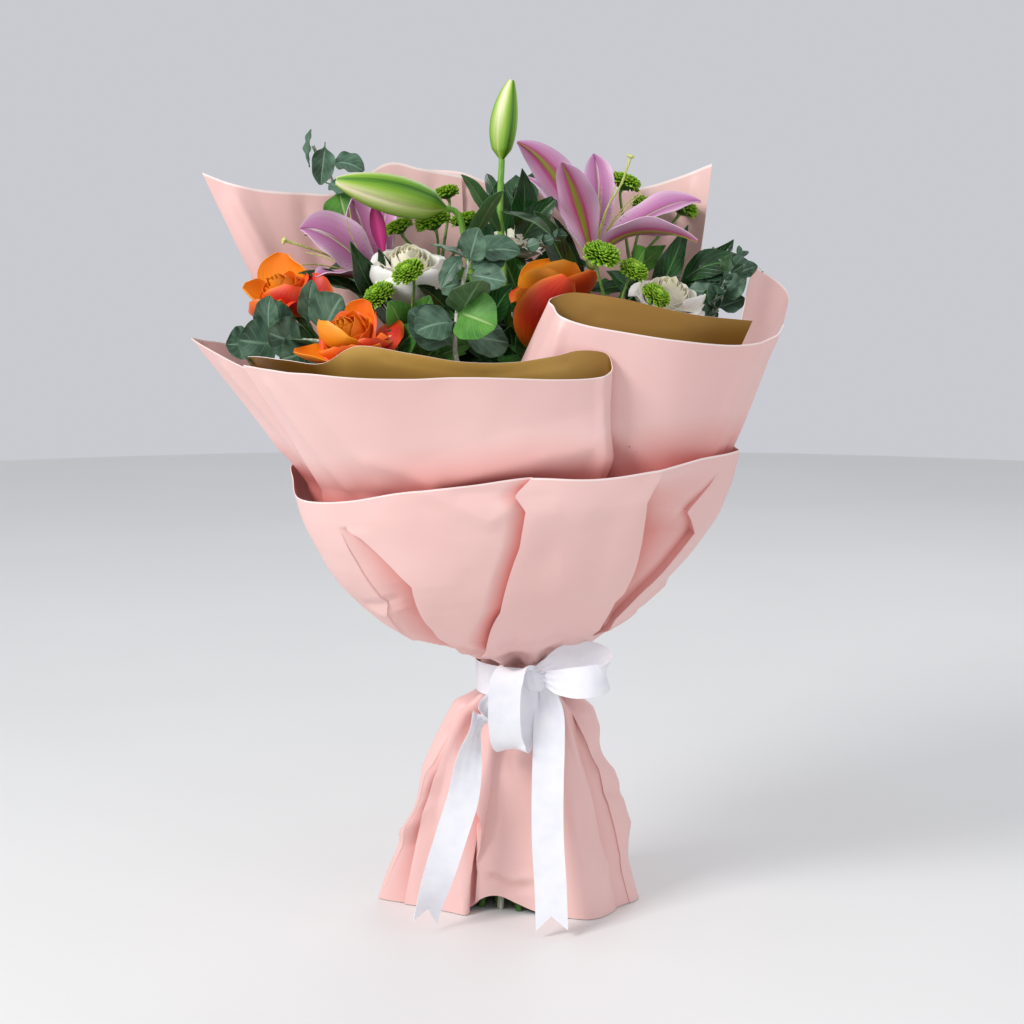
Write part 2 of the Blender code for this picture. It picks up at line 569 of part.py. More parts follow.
def ribbon_shapes():
    """Satin ribbon: band round the neck, knot, two loops and two tails."""
    ring = [around(360.0 * k / 32, 40.8, 189.0) for k in range(32)]
    shapes = [strip(ring, [(0, 0, 1)] * 32, [RIBBON] * 32, True)]
    rings, faces = ball(10, 8)
    knot = []
    for r, angle in rings:
        phi = math.pi * r / 8
        c, s = math.cos(angle), math.sin(angle)
        knot.append((18 + 11.5 * math.copysign(abs(c * math.sin(phi)) ** .7, c),
                     min(-40.9, -46 + 6.2 * math.sin(phi) * s),
                     189.3 + 12.7 * math.copysign(abs(math.cos(phi)) ** .8, math.cos(phi))))
    shapes.append(outward(knot, faces))
    loop_low = [(14, -49, 191, 12), (9, -54.5, 179, 20), (3, -57.5, 163, 27), (0, -58, 144, 28),
                (0, -56, 133, 28), (0, -52, 129, 28), (0, -47.6, 133, 28), (0, -46.4, 145, 28),
                (4, -46.6, 162, 26), (10, -47.6, 179, 18)]
    loop_out = [(20, -46.8, 190.2, 12), (30, -54.6, 194.4, 20), (43, -62, 198, 25), (58, -68, 201, 25),
                (69, -68, 200, 25), (74, -62, 198, 25), (69, -55, 196, 25), (57, -51.5, 195, 25),
                (43, -49.5, 192, 22), (31, -48, 191.3, 14)]
    tail_left = [(14, -44.8, 187, 8), (8, -43.5, 180.4, 14), (-6, -43.2, 172, 22), (-19, -44.5, 158, 25),
                 (-27, -47.5, 140, 25), (-33, -52, 118, 25), (-40, -58, 92, 25),
                 (-50, -67, 57, 25), (-59, -74, 26, 25), (-66, -79, 6, 25)]
    tail_right = [(20, -45, 187, 8), (21, -44.8, 179, 12), (23, -44.6, 168, 20), (22, -47.5, 150, 25),
                  (20, -52, 128, 25), (21, -60, 98, 25), (25, -71, 66, 25), (29, -84, 34, 25),
                  (31, -95, 7, 25)]
    turn = [(.5, 0, .85), (.55, 0, .8), (.62, 0, .75), (.8, .05, .5)] + [(.93, .2, .3)] * 6
    for run, across, closed in ((loop_low, [(.97, 0, .22)] * 10, True),
                                (loop_out, [(-.3, .12, .95)] * 10, True),
                                (tail_left, turn, False), (tail_right, [(1, 0, .05)] * 9, False)):
        shapes.append(strip([p[:3] for p in run], across, [p[3] for p in run], closed))
    return shapes


def ribbon(collection):
    thing = mesh_object("ribbon", ribbon_shapes(), collection)
    return finish(thing, "ribbon", "ribbon")


def sites():
    """Nineteen places of a close packing, where the stems are tied."""
    found = []
    for i in range(-2, 3):
        for j in range(-2, 3):
            if abs(i + j) <= 2:
                found.append((PITCH * (i + j / 2), PITCH * j * math.sqrt(3) / 2))
    return [complex(*p) for p in found]


def assign():
    """Give every stem a place in the tie so that the stems need not cross."""
    names = list(STEMS)
    aims = [complex(STEMS[n][1][0][0] - TIE[0], STEMS[n][1][0][1] - TIE[1]) for n in names]
    aims = [a / max(1.0, abs(a)) * min(abs(a), 130.0) for a in aims]
    places = sites()
    order = list(range(len(names)))
    better = True
    while better:
        better = False
        for a in range(len(names)):
            for b in range(a + 1, len(names)):
                pa, pb = places[order[a]], places[order[b]]
                gain = ((pa - pb) * (aims[b] - aims[a]).conjugate()).real
                if gain > 1e-9:
                    order[a], order[b] = order[b], order[a]
                    better = True
    return {n: places[order[k]] for k, n in enumerate(names)}


def rose_base(name):
    """Underside of a rose and the way the rose faces."""
    centre, axis, radius = ROSES[name]
    return np.array(centre, float) - unit(axis) * .62 * radius, unit(axis)


def stem_paths():
    """Centre lines of all stems: twisted spread below the tie, eased curves above it."""
    places = assign()
    names = list(STEMS)
    ends = {n: [np.array(p, float) for p in STEMS[n][1]] for n in names}
    for n in names:
        if STEMS[n][0] == "rose":
            base, axis = rose_base(n[5:])
            ends[n] = [base - axis * 9]
    for n, centre, face in (("lily_1", CENTRE_1, FACE_1), ("lily_2", CENTRE_2, FACE_2)):
        ends[n][-1] = np.array(centre, float) - unit(face) * 6.85
    for n, number in (("lily_bud_1", 1), ("lily_bud_2", 2)):
        spine = [np.array(p, float) for p in BUDS[number][0]]
        ends[n][-1] = spine[0] - unit(spine[1] - spine[0]) * .35
    levels = [203, 226, 256, 292, 334, 382, 434]
    above = {}
    for n in names:
        aim = ends[n][0]
        start = np.array((TIE[0] + places[n].real, TIE[1] + places[n].imag))
        above[n] = [[*(start + (aim[:2] - start) * ((z - TIE_Z) / (aim[2] - TIE_Z)) ** 1.35), z]
                    for z in levels if z < aim[2] - 20]
    for _ in range(60):
        for k in range(len(levels)):
            here = [n for n in names if len(above[n]) > k]
            for i, a in enumerate(here):
                for b in here[i + 1:]:
                    pa, pb = above[a][k], above[b][k]
                    dx, dy = pb[0] - pa[0], pb[1] - pa[1]
                    d = math.hypot(dx, dy)
                    want = RADIUS[STEMS[a][0]] + RADIUS[STEMS[b][0]] + (.4 if k == 0 else 1.6)
                    if d < want:
                        s = .5 * (want - d) / max(d, 1e-6)
                        pa[0] -= dx * s
                        pa[1] -= dy * s
                        pb[0] += dx * s
                        pb[1] += dy * s
    paths = {}
    for n in names:
        below = []
        for t in (1.0, .66, .33, .08):
            m = (1 - t) + t * SPREAD * complex(math.cos(TWIST), math.sin(TWIST))
            q = places[n] * m
            below.append((TIE[0] * (1 - t) + q.real, q.imag, TIE_Z * (1 - t)))
        tie = (TIE[0] + places[n].real, TIE[1] + places[n].imag, TIE_Z)
        paths[n] = [np.array(p, float) for p in below + [tie] + above[n] + ends[n]]
    return paths


def at_height(path, z):
    """Point of a stem's centre line at a height; a drooping end counts by its rise."""
    for a, b in zip(path, path[1:]):
        if b[2] >= z >= a[2]:
            return a + (b - a) * (z - a[2]) / max(b[2] - a[2], 1e-6)
    return path[-1]


def leaf_shapes(kind, start, azimuth, rise, length, front):
    """One leaf with its stalk, from a point of the stem.

    azimuth and rise give its way in degrees; front 1 turns its upper side to the front.
    """
    a, e = math.radians(azimuth), math.radians(rise)
    way = np.array((math.cos(a) * math.cos(e), math.sin(a) * math.cos(e), math.sin(e)))
    up = np.array((0, 0, 1.0))
    face = np.array((-.1, -.85, .5)) if front else up
    face = unit(face - way * np.dot(face, way) * .98)
    if kind == "lily":
        spine = [start, start + way * .4 * length, start + way * .75 * length + up * .06 * length,
                 start + way * length - up * .06 * length]
        return [blade(spine, .2 * length, face, .9, 4, 5, cup=.2)]
    if kind == "eucalyptus":
        spine = [start, start + way * .5 * length + face * 1.5, start + way * length]
        return [blade(spine, .74 * length, face, 1.0, 4, 5, cup=.1, outline=(.07, .72, 1.0, .78))]
    if kind == "spray":
        spine = [start, start + way * .5 * length + up * 2, start + way * length]
        return [blade(spine, .5 * length, face, .9, 4, 4, cup=.2)]
    spine = [start, start + way * .5 * length + up * .08 * length, start + way * length]
    wide = .42 if kind == "foliage" else .52
    return [blade(spine, wide * length, face, 1.0, 4, 5, cup=.25, outline=(.12, .85, 1.0, .6))]


def stem_shapes(name, path):
    """Bar of a stem with what grows on it."""
    kind = STEMS[name][0]
    r = RADIUS[kind]
    z = np.array([p[2] for p in path])
    thin = .55 if kind in ("eucalyptus", "foliage", "spray") else .85
    radii = [r if p[2] <= 300 else r * (1 - (1 - thin) * (p[2] - 300) / (z[-1] - 300)) for p in path]
    points = [p.copy() for p in path]
    shapes = []
    if kind == "rose":
        base, axis = rose_base(name[5:])
        points += [base - axis * 4, base - axis * .35]
        radii += [5.6, 4.2]
        x, y, _ = axes_of(axis)
        for k in range(5):
            a = k * 2 * math.pi / 5 + .4
            out = x * math.cos(a) + y * math.sin(a)
            spine = [base - axis * 3 + out * 2, base - axis * .5 + out * 13, base - axis * 8 + out * 20]
            shapes.append(blade(spine, 7, axis - out * .1, .9, 4, 3))
    bar = tube(points, radii)
    bar = cut_square(bar, points[0], points[1] - points[0], r)
    shapes.insert(0, bar)
    if kind == "spray":
        number = int(name[-1])
        for centre, radius, spray in HEADS:
            if spray != number:
                continue
            fork, c = np.array(FORKS[number], float), np.array(centre, float)
            axis = head_axis(centre)
            end = c - axis * (radius * .36 + .3)
            shapes.append(tube([fork - np.array((0, 0, 3)), fork + (end - fork) * .55 - axis * 4,
                                end - axis * 6, end], [1.5, 1.2, 1.1, 2.0], 4))
    if kind == "foliage":
        shapes.append(tube([at_height(path, 350), (84, 16, 440), (136, 12, 500), (160, 14, 530)],
                           [1.6, 1.6, 1.4, 1.0], 4))
    for z, azimuth, rise, length, front in LEAVES.get(name, []):
        shapes += leaf_shapes(kind, at_height(path, z), azimuth, rise, length, front)
    return shapes


def head_axis(centre):
    """Button heads look away from the middle of the bouquet."""
    return unit(np.array(centre, float) - np.array((5, 20, 420)))


def lily_shapes(tepals, centre, face):
    """Lily: a small throat and its recurved tepals."""
    rings, faces = ball(8, 5)
    x, y, z = axes_of(face)
    throat = []
    for ring, angle in rings:
        s = math.pi * ring / 5
        r = 5.5 * math.sin(s)
        throat.append(np.array(centre, float) + r * (x * math.cos(angle) + y * math.sin(angle))
                      + z * 6.5 * math.cos(s))
    shapes = [outward(throat, faces)]
    for spine, width, look in tepals:
        way = np.array(spine[1], float) - np.array(centre, float)
        way = way - z * np.dot(way, z)
        spine = [np.array(centre, float) + unit(way) * 3.4 - z, *spine[1:]]
        shapes.append(blade(spine, width, look, 1.0, 4, 7, cup=.3, tip=.85))
    return shapes


def stamens(centre, face, style, count):
    """Style and filaments with their anthers, standing on the throat."""
    x, y, z = axes_of(face)
    base = np.array(centre, float) + z * 6.9
    shapes = [tube([base, *[np.array(p, float) for p in style]], [1.1] * len(style) + [1.8])]
    return shapes


def clear():
    for thing in list(bpy.data.objects):
        bpy.data.objects.remove(thing)


def main():
    clear()
    bouquet = bpy.data.collections.new("bouquet")
    bpy.context.scene.collection.children.link(bouquet)
    for name, columns in (("paper_front_left", FRONT_LEFT), ("paper_front_right", FRONT_RIGHT),
                          ("paper_left_side", LEFT_SIDE), ("paper_right_side", RIGHT_SIDE),
                          ("paper_back_left", BACK_LEFT), ("paper_back_right", BACK_RIGHT)):
        sheet(name, columns, bouquet)
    outer_wrap(bouquet)
    ribbon(bouquet)
    for name, path in stem_paths().items():
        kind = STEMS[name][0]
        colour = {"foliage": "dark", "eucalyptus": "grey_green"}.get(kind, "stem")
        finish(mesh_object(name, stem_shapes(name, path), bouquet), "stem_" + name, colour)
    for name, (centre, axis, radius) in ROSES.items():
        finish(mesh_object(name, rose(centre, axis, radius), bouquet), "bloom_" + name,
               name.split("_")[0])
    for k, (centre, radius, spray) in enumerate(HEADS, 1):
        finish(mesh_object("head", [head(centre, head_axis(centre), radius)], bouquet),
               f"button_{k}", "green")
    finish(mesh_object("lily", lily_shapes(LILY_1, CENTRE_1, FACE_1), bouquet), "bloom_lily_1", "lily")
    finish(mesh_object("lily", lily_shapes(LILY_2, CENTRE_2, FACE_2), bouquet), "bloom_lily_2", "lily")
    for k, (spine, radius, _) in BUDS.items():
        finish(mesh_object("bud", [bud(spine, radius)], bouquet), f"bud_lily_{k}", "bud")
    bpy.ops.mesh.primitive_torus_add(major_segments=18, minor_segments=4,
                                     major_radius=.01685, minor_radius=.0011,
                                     location=(TIE[0] * MM, 0, TIE_Z * MM))
    thing = bpy.context.object
    bpy.ops.object.transform_apply(location=True, rotation=True, scale=True)
    for holder in list(thing.users_collection):
        holder.objects.unlink(thing)
    bouquet.objects.link(thing)
    finish(thing, "twine", "twine")


if __name__ == "__main__":
    main()
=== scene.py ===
"""Paper, ribbon, petals and leaves of a hand-tied mixed bouquet, made round its CAD model.

The file is laid out as an add-on and is run as a script. Its tables are in millimetres,
and every finished mesh is in metres, in the frame of the CAD model.
"""

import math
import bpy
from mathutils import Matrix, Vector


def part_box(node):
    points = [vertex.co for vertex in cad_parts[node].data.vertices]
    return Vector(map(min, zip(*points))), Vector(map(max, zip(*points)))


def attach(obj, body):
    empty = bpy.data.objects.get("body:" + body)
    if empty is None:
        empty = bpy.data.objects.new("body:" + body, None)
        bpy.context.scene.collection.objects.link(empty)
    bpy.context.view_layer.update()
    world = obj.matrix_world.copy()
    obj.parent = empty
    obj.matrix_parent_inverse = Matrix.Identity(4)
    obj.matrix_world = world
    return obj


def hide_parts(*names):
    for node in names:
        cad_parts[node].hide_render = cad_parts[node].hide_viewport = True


bl_info = {
    "name": "Hand-tied bouquet",
    "version": (1, 0, 0),
    "blender": (4, 5, 0),
    "location": "View3D > Sidebar > Bouquet",
    "description": "Dresses the CAD model of a wrapped bouquet with paper, ribbon, petals and leaves",
    "category": "Add Mesh",
}

import bpy
import numpy as np
from bpy.props import FloatProperty, FloatVectorProperty, IntProperty, PointerProperty
from mathutils import Vector, noise

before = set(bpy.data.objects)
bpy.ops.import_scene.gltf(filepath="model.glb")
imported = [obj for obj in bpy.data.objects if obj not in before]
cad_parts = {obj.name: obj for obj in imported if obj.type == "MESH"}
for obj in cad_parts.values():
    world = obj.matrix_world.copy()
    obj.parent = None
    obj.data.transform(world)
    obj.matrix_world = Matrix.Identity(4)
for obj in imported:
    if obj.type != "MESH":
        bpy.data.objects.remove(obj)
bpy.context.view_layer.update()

MM = 0.001
# Axis and height of the tie, foot and top of the neck, height where the inner sheets leave the collar
TIE = (12.0, 0.0)
TIE_Z = 189.0
NECK_LOW, NECK_HIGH = 175.0, 203.0
RIM_Z = 345.0
# Stems: gap between two places in the tie, widening and turn from the tie down to the feet
PITCH = 6.2
SPREAD, TWIST = 2.6, math.radians(40.0)
# Seam of the outer wrap in degrees, and its radius in the neck
SEAM, WRAP_NECK = 95, 32.4
GOLDEN_ANGLE = 2.399963
# Grid columns to each column of a sheet's table
PER_COLUMN = 10
RIBBON_WIDTH, RIBBON_THICK = 25.0, .3

# Rim of the collar round the tie: degrees from +X, radius, height
COLLAR = [(11, 157, 377), (60, 120, 368), (90, 110, 362), (120, 118, 360), (150, 155, 360),
          (180, 187.5, 358), (189, 186, 350), (199, 186, 339), (214.5, 167.5, 342),
          (231.6, 153, 352), (252, 140.7, 359), (270, 138, 365), (291, 146, 364),
          (307, 155.6, 369), (323, 162, 374), (346, 168.8, 374.5), (356.6, 167, 372)]
# Share of its opening that the collar has at a share of its height, left and right side
OPEN_LEFT = [(0, 0), (0.076, 0.2), (0.25, 0.57), (0.5, 0.81), (0.82, 0.96), (1, 1)]
OPEN_RIGHT = [(0, 0), (0.076, 0.1), (0.25, 0.42), (0.5, 0.72), (0.82, 0.95), (1, 1)]
# Hem of the skirt: degrees at the neck, then the point on the table
HEM = [(0, 103, 2, 0), (40, 84, 36, 0), (75, 34, 54, 0), (105, -24, 50, 0), (140, -76, 40, 0),
       (180, -110, 2, 0), (215, -74, -21, 0), (240, -38, -43, 0), (250, -32, -34, 3),
       (258, -20, -34, 12), (266, -8, -36, 14), (274, 6, -38, 8), (282, 22, -42, 2),
       (296, 62, -56, 0), (330, 88, -22, 0)]

# Laid-over folds of the outer wrap: column, line (height, degrees), amount by height, side on
# top, its lift, depth beside it, width of that hollow (0: up to the next line), overhang
FOLDS = [
    (206, [(-1, 186), (-.7, 190), (-.35, 192), (-.1, 193), (.13, 190), (.245, 199), (.46, 213),
           (.84, 211), (1, 206)],
     [(-1, .1), (-.3, .4), (-.12, 0), (.2, .3), (.4, 1), (.75, .8), (.86, 0)], -1, 1.6, 0, 10, 0),
    (218, [(-1, 206), (-.6, 202), (-.3, 203), (-.1, 201), (.13, 210), (.325, 225), (.56, 230),
           (.81, 218), (.86, 213.5), (1, 211)],
     [(-1, .2), (-.7, .8), (-.3, .8), (-.12, .2), (.13, .3), (.28, 1), (.6, 1), (.84, .5), (.87, 0)],
     1, 3.0, 11.0, 0, 4.6),
    (262, [(-1, 254), (-.855, 253), (-.52, 239), (-.235, 218), (-.1, 215), (0, 221), (.14, 228),
           (.2, 243), (.415, 260), (.71, 269), (.865, 271), (.93, 267.3), (1, 271.5)],
     [(-1, .7), (-.5, 1), (-.2, .7), (-.12, .2), (.1, .3), (.2, 1), (.85, 1), (.95, .8), (1, .25)],
     1, 3.4, 4.6, 17, 4.2),
    (307, [(-1, 322), (-.5, 318), (-.235, 312), (-.1, 308), (.19, 309), (.43, 306), (.47, 308),
           (.685, 306), (.87, 305), (.965, 308.5), (1, 310)],
     [(-1, .1), (-.6, .2), (-.2, .2), (-.1, 0), (.15, .2), (.3, 1), (.7, 1), (.88, .4), (.97, 0)],
     -1, 3.0, 15.0, 0, 5.0),
    (324, [(-1, 341), (-.53, 338), (-.3, 334), (-.1, 326), (.19, 316), (.295, 315), (.47, 321),
           (.69, 332.5), (.8, 322), (.94, 335), (1, 337)],
     [(-1, .1), (-.5, .25), (-.2, .2), (-.1, 0), (.2, .3), (.35, 1), (.7, 1), (.8, .7), (.93, 0)],
     1, 5.0, 1.5, 12, 3.4)]
# Creases of the outer wrap: line (degrees, height), rise and half width
CREASES = [
    ([(239, .985), (250, .9), (258, .835), (266, .9)], 1.7, 11), ([(250, .97), (262, .95)], -1.9, 12),
    ([(204, .45), (216, .475)], -2.4, 7), ([(206, .40), (217, .42)], 1.8, 6),
    ([(224, .9), (238, .55), (246, .3)], 1.3, 26), ([(241, .18), (262, .2), (291, .238)], 2.8, 9),
    ([(246, .135), (268, .14), (292, .17)], -3.0, 8), ([(279, .9), (283, .6), (281, .3)], 1.4, 28),
    ([(296, .8), (298, .5)], -1.2, 22), ([(309, .96), (319, .84), (318, .7)], 1.8, 12),
    ([(345, .95), (344, .8), (352, .7)], 2.0, 14), ([(349, .43), (331, .37), (312, .30)], 4.0, 9),
    ([(346, .34), (330, .29), (316, .24)], -3.4, 8), ([(350, .31), (332, .235), (318, .19)], 3.2, 8),
    ([(188, .55), (198, .34), (206, .2)], 2.2, 14), ([(195, .29), (210, .2), (224, .14)], 3.0, 7),
    ([(186, .2), (204, .14)], -3.0, 9), ([(236, .24), (247, .2)], -2.0, 7),
    ([(178, .9), (186, .6)], 1.6, 20), ([(168, -.16), (172, -.3), (178, -.45)], 9.0, 34),
    ([(350, -.14), (352, -.26)], 8.0, 26), ([(355, -.46), (358, -.68)], 10.0, 30),
    ([(204, -.13), (199, -.3), (196, -.46), (190, -.7)], 4.4, 13),
    ([(210, -.2), (207, -.4), (209, -.6), (219, -.95)], -4.6, 13),
    ([(207, -.58), (196, -.66), (182, -.72)], 3.4, 12), ([(188, -.3), (194, -.42)], -3.4, 11),
    ([(226, -.62), (232, -.82), (240, -.98)], 3.0, 11),
    ([(322, -.15), (333, -.28), (336, -.42)], 4.6, 14), ([(301, -.15), (306, -.35), (304, -.7)], -3.0, 13),
    ([(343, -.52), (351, -.55)], -4.0, 9), ([(312, -.86), (326, -.78), (338, -.8)], 2.0, 14),
    ([(263, -.3), (266, -.6), (262, -.8)], 1.6, 22), ([(282, -.35), (284, -.7)], -1.8, 16),
    ([(263, -.92), (270, -.95), (277, -.91)], -3.6, 7), ([(262, -.88), (270, -.9), (279, -.86)], 2.2, 7),
    ([(20, .2), (24, .5), (18, .8)], 4.0, 16), ([(44, .2), (46, .45), (52, .7)], -3.0, 15),
    ([(72, .15), (78, .5), (74, .85)], 3.4, 15), ([(112, .2), (118, .5), (124, .9)], 3.4, 16),
    ([(140, .2), (148, .45), (150, .7)], -3.0, 15), ([(165, .2), (168, .5), (160, .8)], 3.4, 14),
    ([(30, .85), (56, .6), (70, .62)], 2.2, 13), ([(150, .8), (136, .55), (120, .5)], 2.0, 13),
    ([(40, -.15), (44, -.5), (38, -.9)], 4.0, 14), ([(66, -.2), (70, -.6)], -3.4, 14),
    ([(92, -.15), (96, -.6), (90, -.9)], 3.6, 14), ([(128, -.2), (132, -.6)], -3.4, 15),
    ([(150, -.15), (152, -.5), (146, -.9)], 4.0, 14)]

# Sheets, column by column: top point, radius in the neck, share of the collar at the rim
SHEETS = {
    "paper_front_left": [
        (-204, -75, 443, 23.8, .90), (-172, -112, 442, 23.8, .90), (-132, -138, 440, 23.8, .90),
        (-81, -148, 439, 23.8, .90), (-23, -152, 440, 23.8, .90), (28, -142, 438, 23.8, .90),
        (58, -132, 438, 23.8, .90), (71, -124, 441, 23.5, .89), (74, -118, 446, 22.95, .85),
        (69, -112, 455, 22.4, .81), (50, -112, 457, 22.1, .80), (29, -118, 453, 22.1, .80),
        (-2, -124, 449, 22.1, .80), (-38, -128, 450, 22.1, .80), (-75, -128, 456, 22.1, .80),
        (-114, -127, 461, 22.1, .80), (-140, -119, 448, 22.1, .80), (-170, -100, 449, 22.1, .80),
        (-192, -78, 450, 22.1, .80), (-204, -64, 449, 22.1, .80)],
    "paper_front_right": [
        (184, -54, 476, 18.7, .74), (142, -76, 481, 18.7, .74), (112, -80, 487, 18.7, .72),
        (81, -78, 494, 18.7, .68), (48, -72, 498, 18.7, .62), (33, -75, 495, 19.0, .62),
        (28, -80, 492, 19.5, .64), (31, -86, 489, 20.1, .67), (36, -98, 482, 20.4, .69),
        (53, -106, 476, 20.4, .70), (80, -112, 471, 20.4, .77), (125, -106, 464, 20.4, .87),
        (172, -84, 459, 20.4, .90), (201, -60, 464, 20.4, .90), (209, -45, 472, 20.4, .90)],
    "paper_left_side": [
        (-218, 20, 452, 22.1, .88), (-242, -8, 458, 22.1, .92), (-250, -22, 460, 22.1, .92),
        (-229, -46, 451, 22.1, .88), (-206, -62, 442, 22.1, .82), (-190, -75, 436, 22.1, .80)],
    "paper_right_side": [
        (176, -20, 464, 18.7, .86), (188, -8, 511, 18.7, .86), (197, 0, 512, 18.7, .86),
        (218, 6, 495, 18.7, .86), (217, 14, 472, 18.7, .86)],
    "paper_back_left": [
        (-251, 60, 589, 18.7, .86), (-227, 60, 580, 18.7, .85), (-203, 66, 575, 18.7, .84),
        (-173, 74, 573, 18.7, .82), (-141, 82, 574, 18.7, .80), (-104, 100, 597, 18.7, .80),
        (-76, 104, 593, 18.7, .80), (-42, 106, 587, 18.7, .80)],
    "paper_back_right": [
        (-68, 112, 592, 20.4, .86), (-43, 112, 590, 20.4, .86), (-17, 113, 581, 20.4, .86),
        (12, 112, 576, 20.4, .86), (40, 108, 575, 20.4, .86), (74, 102, 575, 20.4, .85),
        (106, 92, 577, 20.4, .84), (137, 72, 586, 20.4, .84), (162, 56, 596, 20.4, .84)],
}

# Lean of a sheet to the left below its top edge: columns and millimetres
LEANS = {"paper_front_right": ((3, 4.5, 5, 7, 8.5, 10.5), (0, 14, 22, 24, 16, 0))}

# Creases of the sheets: line (column, share of height), rise and half width
SHEET_CREASES = {
    "paper_front_left": [
        ([(3.1, .64), (3.9, .70), (5.0, .76), (6.2, .78), (6.9, .74)], 4.5, 26),
        ([(3.4, .60), (4.6, .64), (6.0, .66), (6.8, .64)], -6.5, 24), ([(3.1, .63), (2.9, .60)], 3, 7),
        ([(3.1, .66), (2.6, .70), (2.0, .72)], 1.8, 14), ([(1.2, .98), (1.6, .8), (1.9, .64)], 1.6, 20),
        ([(6.55, .99), (6.7, .8), (6.75, .62)], 1.8, 8), ([(10.5, .97), (12.5, .965), (14.5, .97)], .9, 5),
        ([(.5, .95), (.6, .8), (.9, .62)], 2.4, 12), ([(3.6, .97), (4.2, .86)], -1.4, 24)],
    "paper_front_right": [
        ([(11.2, .62), (10.4, .72), (9.6, .8)], 2.8, 14), ([(10.2, .6), (9.8, .66)], -4.0, 12),
        ([(12.5, .98), (12.2, .8), (11.8, .62)], 2.6, 14), ([(8.3, .98), (8.2, .8), (8.1, .62)], 1.8, 8),
        ([(1.5, .97), (3.5, .965)], .8, 5), ([(13.3, .95), (12.9, .7)], -2.6, 12)],
    "paper_left_side": [([(1.2, .98), (1.6, .7)], 2.0, 12), ([(3, .95), (3.3, .65)], 2.2, 12)],
    "paper_right_side": [([(1.5, .98), (1.6, .7)], 2.0, 10)],
    "paper_back_left": [
        ([(1.0, .98), (1.5, .8), (2.2, .62)], 3.2, 16), ([(3.0, .97), (3.2, .75)], -3.2, 14),
        ([(5, .98), (5.2, .7)], 2.8, 16), ([(6.3, .97), (6.1, .7)], -2.6, 12)],
    "paper_back_right": [
        ([(1.2, .97), (1.5, .7)], 2.6, 14), ([(3.4, .98), (3.6, .7)], -2.8, 14),
        ([(6.2, .98), (5.8, .75)], 3.2, 16), ([(7.4, .97), (7.0, .7)], 2.6, 10)],
}

# Blooms: centre, direction they face, radius
ROSES = {"orange_1": ((-122, -88, 466), (-.45, -.62, .64), 30),
         "orange_2": ((-178, -20, 495), (-.5, -.35, .79), 29),
         "orange_3": ((27, -25, 492), (.1, -.22, .97), 31),
         "white_1": ((-81, -12, 514), (.1, -.45, .89), 26),
         "white_2": ((7, 39, 534), (.05, -.2, .98), 21),
         "white_3": ((121, -18, 490), (.2, -.4, .89), 25)}
# Button heads: centre, radius, number of the spray
HEADS = [((-102, -50, 495), 13, 1), ((-79, -62, 513), 13, 1), ((-90, 26, 546), 12, 2),
         ((-63, 20, 550), 14, 2), ((-38, 52, 551), 12, 2), ((-53, 58, 573), 11, 2),
         ((91, 55, 581), 13, 3), ((110, 64, 561), 13, 3), ((138, 52, 561), 13, 3),
         ((68, -62, 526), 14, 4), ((93, -54, 514), 12, 4), ((110, -58, 495), 12, 4)]
FORKS = {1: (-80, -40, 462), 2: (-58, 32, 510), 3: (96, 50, 515), 4: (78, -46, 470)}
# Lilies: tepals as spine points, width and the way their inner face looks
LILIES = {
    "lily_1": [
        ([(64, 14, 520), (50, 14, 560), (34, 6, 598), (4, -6, 612)], 30, (.3, .9, .1)),
        ([(64, 12, 520), (56, -10, 552), (48, -24, 578), (38, -44, 596)], 30, (.3, .8, .5)),
        ([(64, 14, 520), (82, 2, 548), (118, -10, 547), (144, -24, 536)], 31, (-.2, .5, .85)),
        ([(64, 18, 520), (92, 26, 550), (126, 30, 570), (151, 34, 566)], 30, (-.3, -.55, .8)),
        ([(64, 22, 520), (70, 38, 556), (72, 46, 588), (66, 62, 604)], 26, (.1, -.9, .4)),
        ([(62, 18, 520), (48, 34, 548), (34, 48, 574), (10, 62, 586)], 24, (.6, -.5, .6))],
    "lily_2": [
        ([(-103, 20, 500), (-122, 4, 524), (-144, -8, 548), (-165, -14, 545)], 41,
         (.15, -.8, .55)),
        ([(-103, 18, 500), (-126, -6, 508), (-144, -18, 514), (-152, -26, 508)], 26,
         (-.1, -.2, .97)),
        ([(-103, 23, 500), (-112, 28, 530), (-122, 30, 552), (-127, 22, 568)], 30,
         (.2, -.9, .3)),
        ([(-103, 24, 500), (-106, 40, 530), (-104, 48, 554), (-100, 60, 568)], 24,
         (-.3, -.9, .2)),
        ([(-104, 24, 500), (-128, 36, 522), (-150, 44, 540), (-168, 50, 540)], 24,
         (.1, -.3, .95))],
}
THROATS = {"lily_1": ((64, 16, 518), (.2, -.1, .97)), "lily_2": ((-102, 21, 498), (-.72, -.2, .66))}
BUDS = {"bud_lily_1": ([(-8, 14, 599), (-7, 14, 630), (0, 15, 661)], 11.5),
        "bud_lily_2": ([(-53, 0, 561), (-95, -10, 574), (-137, -21, 582)], 16.5)}

